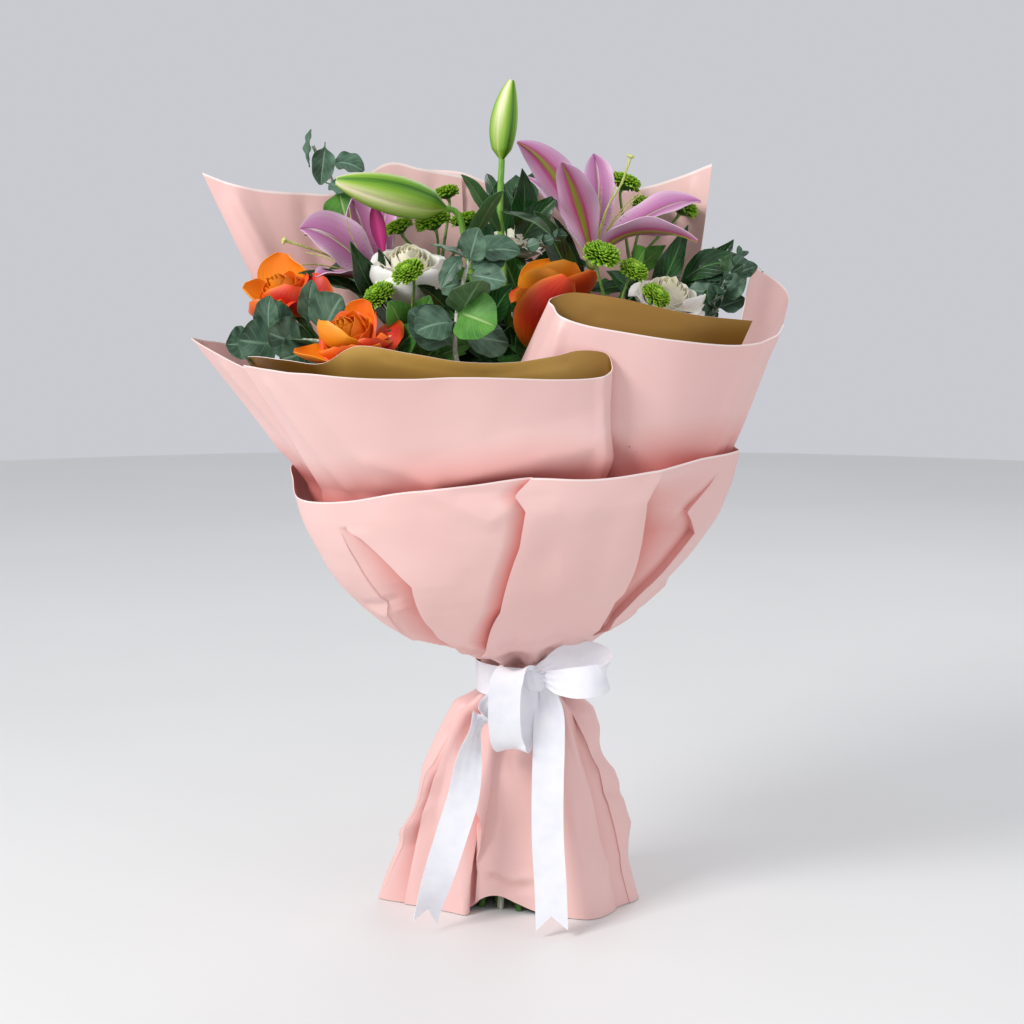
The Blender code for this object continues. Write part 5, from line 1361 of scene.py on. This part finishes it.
def paper_materials(context, gold):
    """Outer side, inner side and cut edge of a sheet."""
    s = context.scene.bouquet_paper
    edge = hex_of(s.edge)
    # The edge colour also paints the highlight band along the top edge of the pink paper
    outside = stock(coated_paper, "Pink coated paper", hex_of(s.outside), hex_of(s.shade),
                    deep=hex_of(s.deep), rim=edge)
    # The gold side is painted towards dark bronze where it lies in painted shade
    inside = stock(coated_paper, "Gold coated paper", hex_of(s.inside), "#D0A24C", .3, .42,
                   deep="#7C4E10") if gold else outside
    return [outside, inside, stock(coated_paper, "Cut paper edge", edge, "#F4DAD4", 0.0, .7)]


class BOUQUET_OT_outer_wrap(bpy.types.Operator):
    """Outer sheet: skirt, gathered neck and open collar"""
    bl_idname = "bouquet.outer_wrap"
    bl_label = "Outer wrap"

    def execute(self, context):
        s = context.scene.bouquet_paper
        u = np.concatenate([np.arange(SEAM, 180, 2.6), np.arange(180, 360, 1.05),
                            np.arange(360, 482.01, 2.6)])
        marks = np.array([f[0] for f in FOLDS], float)
        u = u[np.abs(u[:, None] - marks).min(1) > .3]
        u = np.sort(np.concatenate([u, marks, marks - .16, marks + .16]))
        v = np.concatenate([np.linspace(-1, -.12, 62), np.linspace(-.1, .1, 7),
                            np.linspace(.112, 1, 98)])
        grid, out, depth = wrap_folds(u, v)
        free = (np.abs(v) - .1).clip(0, .3)[:, None] / .3
        grid += out * (ripple(grid, 46, 3.1) * free * s.crumple / MM * 1.6
                       + ripple(grid, 17, 8.4) * free * .35)[..., None]
        grid[..., 2] = np.maximum(grid[..., 2], s.thickness / MM / 2)
        build = Build()
        # Painted shade on the inner face, none at the hem and deepest at the rim; the outer face gets the
        # painted shadow beside the folds
        inside = np.clip((v[:, None] + 1) / 2, 0, 1) * np.ones(len(u)) * .55
        skin(build, grid, s.thickness / MM, (0, 1, 2), normals=out,
             tone=(depth, inside))
        piece("outer_wrap_paper", build, paper_materials(context, False), ["outer_wrap"])
        return {"FINISHED"}


class BOUQUET_OT_sheets(bpy.types.Operator):
    """Inner sheets: two folded ones in front, one at each side and two behind"""
    bl_idname = "bouquet.sheets"
    bl_label = "Inner sheets"

    def execute(self, context):
        s = context.scene.bouquet_paper
        levels = np.concatenate([np.linspace(0, .1, 4), np.linspace(.12, .6, 28),
                                 np.linspace(.615, 1, 33)])
        for k, (name, columns) in enumerate(SHEETS.items()):
            grid = sheet_surface(columns, levels)
            along = np.arange(grid.shape[1]) / PER_COLUMN
            free = (levels / .3).clip(0, 1)[:, None]
            if name in LEANS:
                fall = np.clip((1 - levels) / .13, 0, 1) * np.clip((levels - .2) / .3, 0, 1)
                grid[..., 0] -= fall[:, None] * np.interp(along, *LEANS[name])
            lines = [([grid[int(round(np.interp(b, levels, np.arange(len(levels))))),
                            int(round(a * PER_COLUMN))] for a, b in line], rise, wide)
                     for line, rise, wide in SHEET_CREASES[name]]
            grid += (normals_of(grid) * (ripple(grid, 52, 5.0 + k) * free * s.crumple / MM * 1.3
                                         + ripple(grid, 19, k) * free * .3
                                         + creases(grid, lines))[..., None])
            gold = "front" in name
            # Painted shade where the sheet dips behind the collar, full at the rim and gone 34 mm above it
            above = grid[..., 2] - at_angle(RIM, np.degrees(np.arctan2(
                grid[..., 1] - TIE[1], grid[..., 0] - TIE[0])))[..., 1]
            low = np.clip(1 - above / 34, 0, 1) ** 1.3
            # Painted shade on the gold side, growing below its top edge
            painted_gold_shade = np.clip((.99 - levels[:, None]) / .16, 0, 1) * np.ones(grid.shape[1])
            if name == "paper_front_left":
                # Both ends of the fold lie in the shade, the left one of the leaves
                painted_gold_shade = np.maximum(painted_gold_shade, np.clip(along - 15.3, 0, 1))
                painted_gold_shade = np.maximum(painted_gold_shade, np.clip((11.8 - along) / 3.2, 0, 1))
            # Painted shade over all of the gold side of the front right sheet
            if name == "paper_front_right":
                painted_gold_shade = np.maximum(painted_gold_shade, .7)
            build = Build()
            skin(build, grid, s.thickness / MM, (0, 1, 2),
                 tone=(low * .85, painted_gold_shade * .9 if gold else low * .85))
            piece(name.replace("paper", "sheet"), build, paper_materials(context, gold), [name])
        return {"FINISHED"}


class BOUQUET_OT_ribbon(bpy.types.Operator):
    """Satin ribbon: band, knot, two loops and two tails, cut from one length"""
    bl_idname = "bouquet.ribbon"
    bl_label = "Ribbon"

    def execute(self, context):
        s = context.scene.bouquet_ribbon
        build = Build()
        ring = [around(360.0 * k / 32, 40.8, TIE_Z) for k in range(32)]
        length = flat_ribbon(build, ring, [(0, 0, 1)] * 32, [RIBBON_WIDTH] * 32, True, cup=.4, seed=1)
        for run, across, closed, seed in RIBBON:
            length += flat_ribbon(build, [p[:3] for p in run], across, [p[3] for p in run], closed,
                                  notch=0 if closed else 11, start=length, cup=.5, seed=seed)
        phi, a = np.meshgrid(np.linspace(.03, math.pi - .03, 26),
                             np.linspace(0, 2 * math.pi, 40, endpoint=False), indexing="ij")
        flute = 1 + .07 * np.sin(a * 9 + np.cos(phi) * 2) * np.sin(phi)
        c, q, h = np.cos(a) * np.sin(phi), np.sin(a) * np.sin(phi), np.cos(phi)
        knot = np.stack([18.5 + 9 * np.sign(c) * np.abs(c) ** .7 * flute,
                         np.minimum(-40.9, -46 - 6.2 * q * flute),
                         194 - 10.5 * np.sign(h) * np.abs(h) ** .8], -1)
        bulb(build, knot, 0)
        cloth = stock(satin, "White satin", hex_of(s.colour), hex_of(s.shade))
        edge = stock(satin, "Ribbon edge", "#FFFFFF", "#F0F0F6")
        thing = piece("ribbon_satin", build, [cloth, edge], ["ribbon"])
        return {"FINISHED"}


class BOUQUET_OT_twine(bpy.types.Operator):
    """Jute twine wound round the stems inside the neck"""
    bl_idname = "bouquet.twine"
    bl_label = "Twine"

    def execute(self, context):
        low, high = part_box("twine")
        cord = .00055
        straw = stock(jute, "Jute twine")
        mesh = grown(bpy.data.meshes.new("none"), stock(winding_tree, "Wound cord"), turns=2.0,
                     radius=(high.x - low.x) / 2 - cord, pitch=.0010, cord=cord, material=straw)
        build = Build()
        build.take(mesh, 0, points_of(mesh) + ((low.x + high.x) / 2, 0, (low.z + high.z) / 2 - .001))
        piece("jute_twine", build, [straw], ["twine"])
        return {"FINISHED"}


class BOUQUET_OT_roses(bpy.types.Operator):
    """Three orange and three white roses"""
    bl_idname = "bouquet.roses"
    bl_label = "Roses"

    def execute(self, context):
        s = context.scene.bouquet_flowers
        orange = [petal("Orange petal, outer side",
                        [(0, "#E8B43A"), (.14, "#F47010"), (.42, "#E03002"), (.8, "#C41400"),
                         (1, "#E8480C")], "#FF9830", tone="#FFA414"),
                  petal("Orange petal, inner side",
                        [(0, "#FFB422"), (.45, "#FF9A10"), (.78, "#F25A08"), (1, "#E02C04")],
                        "#F58614", tone="#FFA414")]
        white = [petal("White petal, outer side",
                       [(0, "#C9D49A"), (.25, "#EDEBD8"), (.7, "#F4F1E8"), (1, "#FAF6F0")],
                       "#F7EFE8", tone="#F1E9C8"),
                 petal("White petal, inner side",
                       [(0, "#E4E2B4"), (.4, "#F2EFDC"), (1, "#FAF7F1")], "#F8F2EC",
                       tone="#EFE8C4")]
        for k, (name, (centre, axis, radius)) in enumerate(ROSES.items()):
            build = Build()
            full = name.startswith("white")
            rose_shapes(build, centre, axis, radius * (1.02 if full else .84),
                        s.rose_petals + 14 * full, 11 + k, .92 if full else .8)
            for j, (spine, width, face, tone) in enumerate(PETALS[name]):
                blade(build, spine, width, face, CUPPED, (1, 0, 1), cup=.42, ruffle=1.5, waves=1.6,
                      thick=.6, rows=26, cols=21, phase=2.3 * j + k, tone=tone)
            kind = name.split("_")[0]
            piece("rose_" + name, build, orange if kind == "orange" else white,
                  ["bloom_" + name])
        return {"FINISHED"}


class BOUQUET_OT_lilies(bpy.types.Operator):
    """Two open lilies with styles and filaments, and two buds"""
    bl_idname = "bouquet.lilies"
    bl_label = "Lilies and buds"

    def execute(self, context):
        inner = banded_petal("Lily petal, inner side", [
            [(0, "#A6B45C"), (.10, "#B85A90"), (.45, "#C686B0"), (.85, "#DCB2CE"), (1, "#EEDAE6")],
            [(0, "#F0DCE8"), (.05, "#8E3470"), (.14, "#B06A9E"), (.6, "#BE80AC"), (1, "#DAB2CC")]],
            spots="#8A1E5C")
        outer = banded_petal("Lily petal, outer side", [
            [(0, "#86A822"), (.12, "#9AAE30"), (.24, "#B8185C"), (.46, "#CE86AE"), (1, "#DEC2D6")],
            [(0, "#8F9A2A"), (.10, "#A01A5C"), (.38, "#C078A6"), (1, "#D0A6C6")]])
        deep = banded_petal("Lily petal, shaded side", [
            [(0, "#C0307C"), (.5, "#A81468"), (1, "#8A0C50")],
            [(0, "#B42A78"), (.5, "#98125E"), (1, "#7C0A48")]])
        throat = stock(stalk, "Lily throat", "#8FA84A", "#B4C474")
        green = banded_petal("Lily bud skin", [
            [(0, "#F6E6CC"), (.3, "#DADF9E"), (.62, "#9ABE3C"), (.88, "#5E9216"), (1, "#3A6C0C")],
            [(0, "#C8D884"), (.16, "#8CB62A"), (.6, "#6FA31A"), (.86, "#4E8410"), (1, "#33640A")]],
            veins=60, repeat=3)
        pistil = stock(stalk, "Style", "#A8B24A", "#D6D88A")
        for name, style in (
                ("lily_1", ((64, 16, 522), (74, 10, 558), (86, 4, 580), (93, 2, 601))),
                ("lily_2", ((-104, 20, 502), (-136, 6, 520), (-160, -6, 530), (-178, -12, 536)))):
            build = Build()
            lily_shapes(build, name)
            base = np.array(THROATS[name][0], float)
            x, y, z = axes_of(THROATS[name][1])
            lines = [(style, [1.1, .9, .9, 1.3])]
            for k in range(6):
                a = k * math.pi / 3 + .3
                out = x * math.cos(a) + y * math.sin(a)
                lines.append(((base + out * 2, base + z * 26 + out * 7, base + z * 50 + out * 20,
                               base + z * 62 + out * 30), [.8, .6, .5, .45]))
            build.take(bars(lines, 8, .002, pistil), 3)
            tip = np.array(style[-1], float)
            way = unit(tip - np.array(style[-2], float))
            ball(build, tip, axes_of(way), 3.0, 1.6, 12, 24, 3, .1, .22)
            slots = [inner, outer, throat, pistil]
            if name == "lily_2":
                # Inner face of a folded tepal, in its own shade
                blade(build, [(-101, 2, 522), (-104, 0, 545), (-109, 3, 564)], 12, (-.2, -.95, .1),
                      TEPAL, (4, 4, 4), cup=.3, thick=.6, rows=24, cols=9)
                slots.append(deep)
            piece(name, build, slots, ["bloom_" + name])
        for name, (spine, radius) in BUDS.items():
            build = Build()
            bud_shape(build, spine, radius)
            piece(name.replace("bud_lily", "lily_bud"), build, [green], [name])
        return {"FINISHED"}


class BOUQUET_OT_buttons(bpy.types.Operator):
    """Twelve green button heads of close florets"""
    bl_idname = "bouquet.buttons"
    bl_label = "Button heads"

    def execute(self, context):
        s = context.scene.bouquet_flowers
        skin_green = floret_skin("Green floret", "#2C5A08", "#6BA414", "#B4D83C")
        one = Build()
        spine = [(0, 0, 0), (1.6, 0, 3.2), (1.2, 0, 6.0), (-.6, 0, 7.6)]
        blade(one, spine, 3.3, (-1, 0, .2), (.5, .8, 1.0, 1.0, .5), (0, 0, 0), cup=.8, thick=.35,
              rows=5, cols=3)
        shape = pattern("floret", one)
        none = bpy.data.meshes.new("none")
        for k, (centre, radius, spray) in enumerate(HEADS):
            mesh = grown(none, stock(florets_tree, "Button florets"), floret=shape, count=s.florets,
                         dome_radius=radius * .50 * MM, reach=1.95, seed=k + 1, material=skin_green)
            x, y, z = axes_of(head_axis(centre))
            q = points_of(mesh)
            size = radius / 13.8
            build = Build()
            build.take(mesh, 0, np.asarray(centre, float) * MM
                       + (x * q[:, :1] + y * q[:, 1:2] + z * (q[:, 2:] * .74)) * size)
            ball(build, centre, (x, y, z), radius * .56, radius * .5, 14, 28, 0, .05)
            piece(f"button_head_{k + 1}", build, [skin_green], [f"button_{k + 1}"])
        bpy.data.objects.remove(shape)
        return {"FINISHED"}


class BOUQUET_OT_stems(bpy.types.Operator):
    """Nineteen stems with their leaves"""
    bl_idname = "bouquet.stems"
    bl_label = "Stems and leaves"

    def execute(self, context):
        glossy = leaf("Glossy leaf, upper side", "#0E2C10", "#1C4A1C", "#4A7A3C", .26, 9, .5)
        under = leaf("Glossy leaf, under side", "#3E6A3A", "#54804A", "#7FA06C", .5, 9, .4)
        rose_leaf = leaf("Rose leaf, upper side", "#2C5A22", "#3F7A2C", "#7FA860", .4, 8, .7)
        mum_leaf = leaf("Button leaf, upper side", "#3E7A28", "#5A9A34", "#93B86A", .55, 7, .9)
        waxy = leaf("Eucalyptus leaf, upper side", "#2A4630", "#587A62", "#75957B", .45, 6, .35)
        waxy_low = leaf("Eucalyptus leaf, under side", "#3A5834", "#5A7A50", "#79966C", .6, 6, .35)
        bark = {"rose": stalk("Rose stem", "#35601F", "#4F7F2E"),
                "lily": stalk("Lily stem", "#5F9A2A", "#86B848"),
                "spray": stalk("Spray stem", "#4C7A2A", "#7BA048"),
                "eucalyptus": stalk("Eucalyptus stem", "#8A9474", "#DCDCCB"),
                "foliage": stalk("Foliage stem", "#3C5A26", "#5F7A3A")}
        tops = {"rose": (rose_leaf, under), "lily": (glossy, under), "spray": (mum_leaf, under),
                "eucalyptus": (waxy, waxy_low), "foliage": (glossy, under)}
        one = Build()
        blade(one, [(0, 0, 0), (3, 0, 5), (5, 0, 9)], 9, (-1, 0, .6), ROUND, (0, 0, 0), cup=.2,
              thick=.3, rows=8, cols=7)
        small = pattern("small_leaf", one)
        rng = np.random.default_rng(7)
        paths = stem_paths()
        for k, (name, path) in enumerate(paths.items()):
            kind = STEMS[name][0]
            build = Build()
            mesh = bars(self.lines(name, kind, path, build), 12, .004, bark[kind])
            points = points_of(mesh)
            near = np.linalg.norm(points - path[0] * MM, axis=1) < 1.3 * RADIUS[kind] * MM
            points[near, 2] = 0
            points[:, 2] = np.maximum(points[:, 2], 0)
            build.take(mesh, 0, points)
            for j, (z, azimuth, rise, length, front) in enumerate(LEAVES.get(name, [])):
                leaf_shape(build, kind, at_height(path, z), azimuth, rise, length, front,
                           1.7 * j + k)
            if kind in ("rose", "lily", "spray"):
                for j in range(5):
                    z = rng.uniform(385, min(470, path[-1][2] - 12))
                    leaf_shape(build, "rose" if kind == "lily" else kind, at_height(path, z),
                               rng.uniform(170, 370), rng.uniform(15, 60), rng.uniform(38, 58), 1,
                               2.1 * j + k)
            for j, (spine, width, face, textured) in enumerate(MORE_LEAVES.get(name, [])):
                outline = ROUND if kind == "eucalyptus" or textured else GLOSSY
                blade(build, spine, width, face, outline, (3, 4, 4) if textured else (1, 2, 2),
                      cup=.2, groove=.6, ruffle=1.2, rows=22, cols=15, phase=1.3 * j,
                      tone=(.37 * j) % 1)
            for stem, points in TWIGS:
                if stem == name:
                    build.take(bars([(points, [.7, .6, .5, .4])], 6, .003, bark[kind]), 0)
                    build.take(grown(polylines([(points, [1] * 4)]), stock(pairs_tree, "Leaf pairs"),
                                     leaf=small, gap=.0062, size=1.0, seed=3, material=waxy), 1)
            piece("stem_with_leaves_" + name, build, [bark[kind], *tops[kind], mum_leaf, under],
                  ["stem_" + name])
        bpy.data.objects.remove(small)
        return {"FINISHED"}

    @staticmethod
    def lines(name, kind, path, build):
        """Polylines of a stem and its branches with their radii; sepals go to the build."""
        r = RADIUS[kind]
        top = path[-1][2]
        thin = .55 if kind in ("eucalyptus", "foliage", "spray") else .85
        radii = [r if p[2] <= 300 else r * (1 - (1 - thin) * (p[2] - 300) / (top - 300)) for p in path]
        points = [p.copy() for p in path]
        if kind == "rose":
            base, axis = rose_base(name[5:])
            points += [base - axis * 4, base - axis * .35]
            radii += [5.6, 4.2]
            x, y, _ = axes_of(axis)
            for k in range(5):
                a = k * 2 * math.pi / 5 + .4
                out = x * math.cos(a) + y * math.sin(a)
                spine = [base - axis * down + out * wide
                         for down, wide in ((3, 2), (.5, 13), (8, 20))]
                blade(build, spine, 7, axis - out * .1, SLIM, (2, 1, 2), cup=.2, ruffle=.6,
                      rows=12, cols=7, phase=k)
        lines = [(points, radii)]
        if kind == "spray":
            number = int(name[-1])
            for centre, radius, spray in HEADS:
                if spray != number:
                    continue
                fork, c = np.array(FORKS[number], float), np.array(centre, float)
                axis = head_axis(centre)
                end = c - axis * (radius * .36 + .3)
                lines.append(([fork - np.array((0, 0, 3)), fork + (end - fork) * .55 - axis * 4,
                               end - axis * 6, end], [1.5, 1.2, 1.1, 2.0]))
        if kind == "foliage":
            lines.append(([at_height(path, 350), (84, 16, 440), (136, 12, 500), (160, 14, 530)],
                          [1.6, 1.6, 1.4, 1.0]))
        return lines


def aimed(thing, spot, aim):
    """Put a lamp or a camera at a spot and turn it to its aim."""
    thing.location = spot
    thing.rotation_euler = (Vector(aim) - Vector(spot)).to_track_quat("-Z", "Y").to_euler()
    return thing


class BOUQUET_OT_stage(bpy.types.Operator):
    """Pale floor, soft lights and the camera"""
    bl_idname = "bouquet.stage"
    bl_label = "Stage"

    def execute(self, context):
        s = context.scene.bouquet_stage
        a = np.linspace(0, 2 * math.pi, 96, endpoint=False)
        mesh = bpy.data.meshes.new("floor")
        ring = np.stack([3.2 * np.cos(a), 3.2 * np.sin(a), 0 * a - .0002], 1)
        mesh.from_pydata(ring.tolist(), [], [list(range(96))])
        made, tree = new_material("Pale floor", .5)
        mesh.materials.append(coloured(made, ramp(tree, cloud(tree, place_in(tree), 2.0),
                                                  [(.3, "#E4E4E2"), (.7, "#E8E8E6")])))
        floor = placed("floor", mesh)
        world = bpy.data.worlds.new("studio")
        context.scene.world = world
        world.use_nodes = True
        sky = world.node_tree.nodes["Background"].inputs
        sky["Color"].default_value, sky["Strength"].default_value = (*linear("#DADCE2"), 1), .83
        context.scene.view_settings.view_transform = "Standard"
        for name, spot, aim, size, power in (
                ("key_light", (-1.6, -1.3, 1.75), (0, 0, .35), .8, 41),
                ("fill_light", (1.7, -1.2, 1.1), (0, 0, .3), 1.3, 5.5),
                ("back_light", (.6, 1.6, 1.7), (0, 0, .4), 1.0, 7)):
            lamp = bpy.data.lights.new(name, "AREA")
            lamp.size = size
            lamp.energy = power
            aimed(placed(name, lamp), spot, aim)
        lens = bpy.data.cameras.new("camera")
        lens.sensor_width = 36
        lens.lens = s.lens
        context.scene.camera = aimed(placed("camera", lens), (0, -s.distance, s.height), (0, 0, s.aim))
        return {"FINISHED"}


class BOUQUET_PT_panel(bpy.types.Panel):
    """Lists the sizes, the colours and the operators"""
    bl_idname = "BOUQUET_PT_panel"
    bl_label = "Bouquet"
    bl_space_type = "VIEW_3D"
    bl_region_type = "UI"
    bl_category = "Bouquet"

    def draw(self, context):
        for key, group in SETTINGS.items():
            box = self.layout.box()
            for name in group.__annotations__:
                box.prop(getattr(context.scene, key), name)
        for operator in OPERATORS:
            self.layout.operator(operator.bl_idname)


OPERATORS = (BOUQUET_OT_stage, BOUQUET_OT_outer_wrap, BOUQUET_OT_sheets, BOUQUET_OT_ribbon,
             BOUQUET_OT_twine, BOUQUET_OT_roses, BOUQUET_OT_lilies, BOUQUET_OT_buttons,
             BOUQUET_OT_stems)
CLASSES = (*SETTINGS.values(), *OPERATORS, BOUQUET_PT_panel)


def register():
    for cls in CLASSES:
        bpy.utils.register_class(cls)
    for key, group in SETTINGS.items():
        setattr(bpy.types.Scene, key, PointerProperty(type=group))


def unregister():
    for key in SETTINGS:
        delattr(bpy.types.Scene, key)
    for cls in reversed(CLASSES):
        bpy.utils.unregister_class(cls)


def main():
    register()
    for operator in OPERATORS:
        group, name = operator.bl_idname.split(".")
        getattr(getattr(bpy.ops, group), name)()


if __name__ == "__main__":
    main()
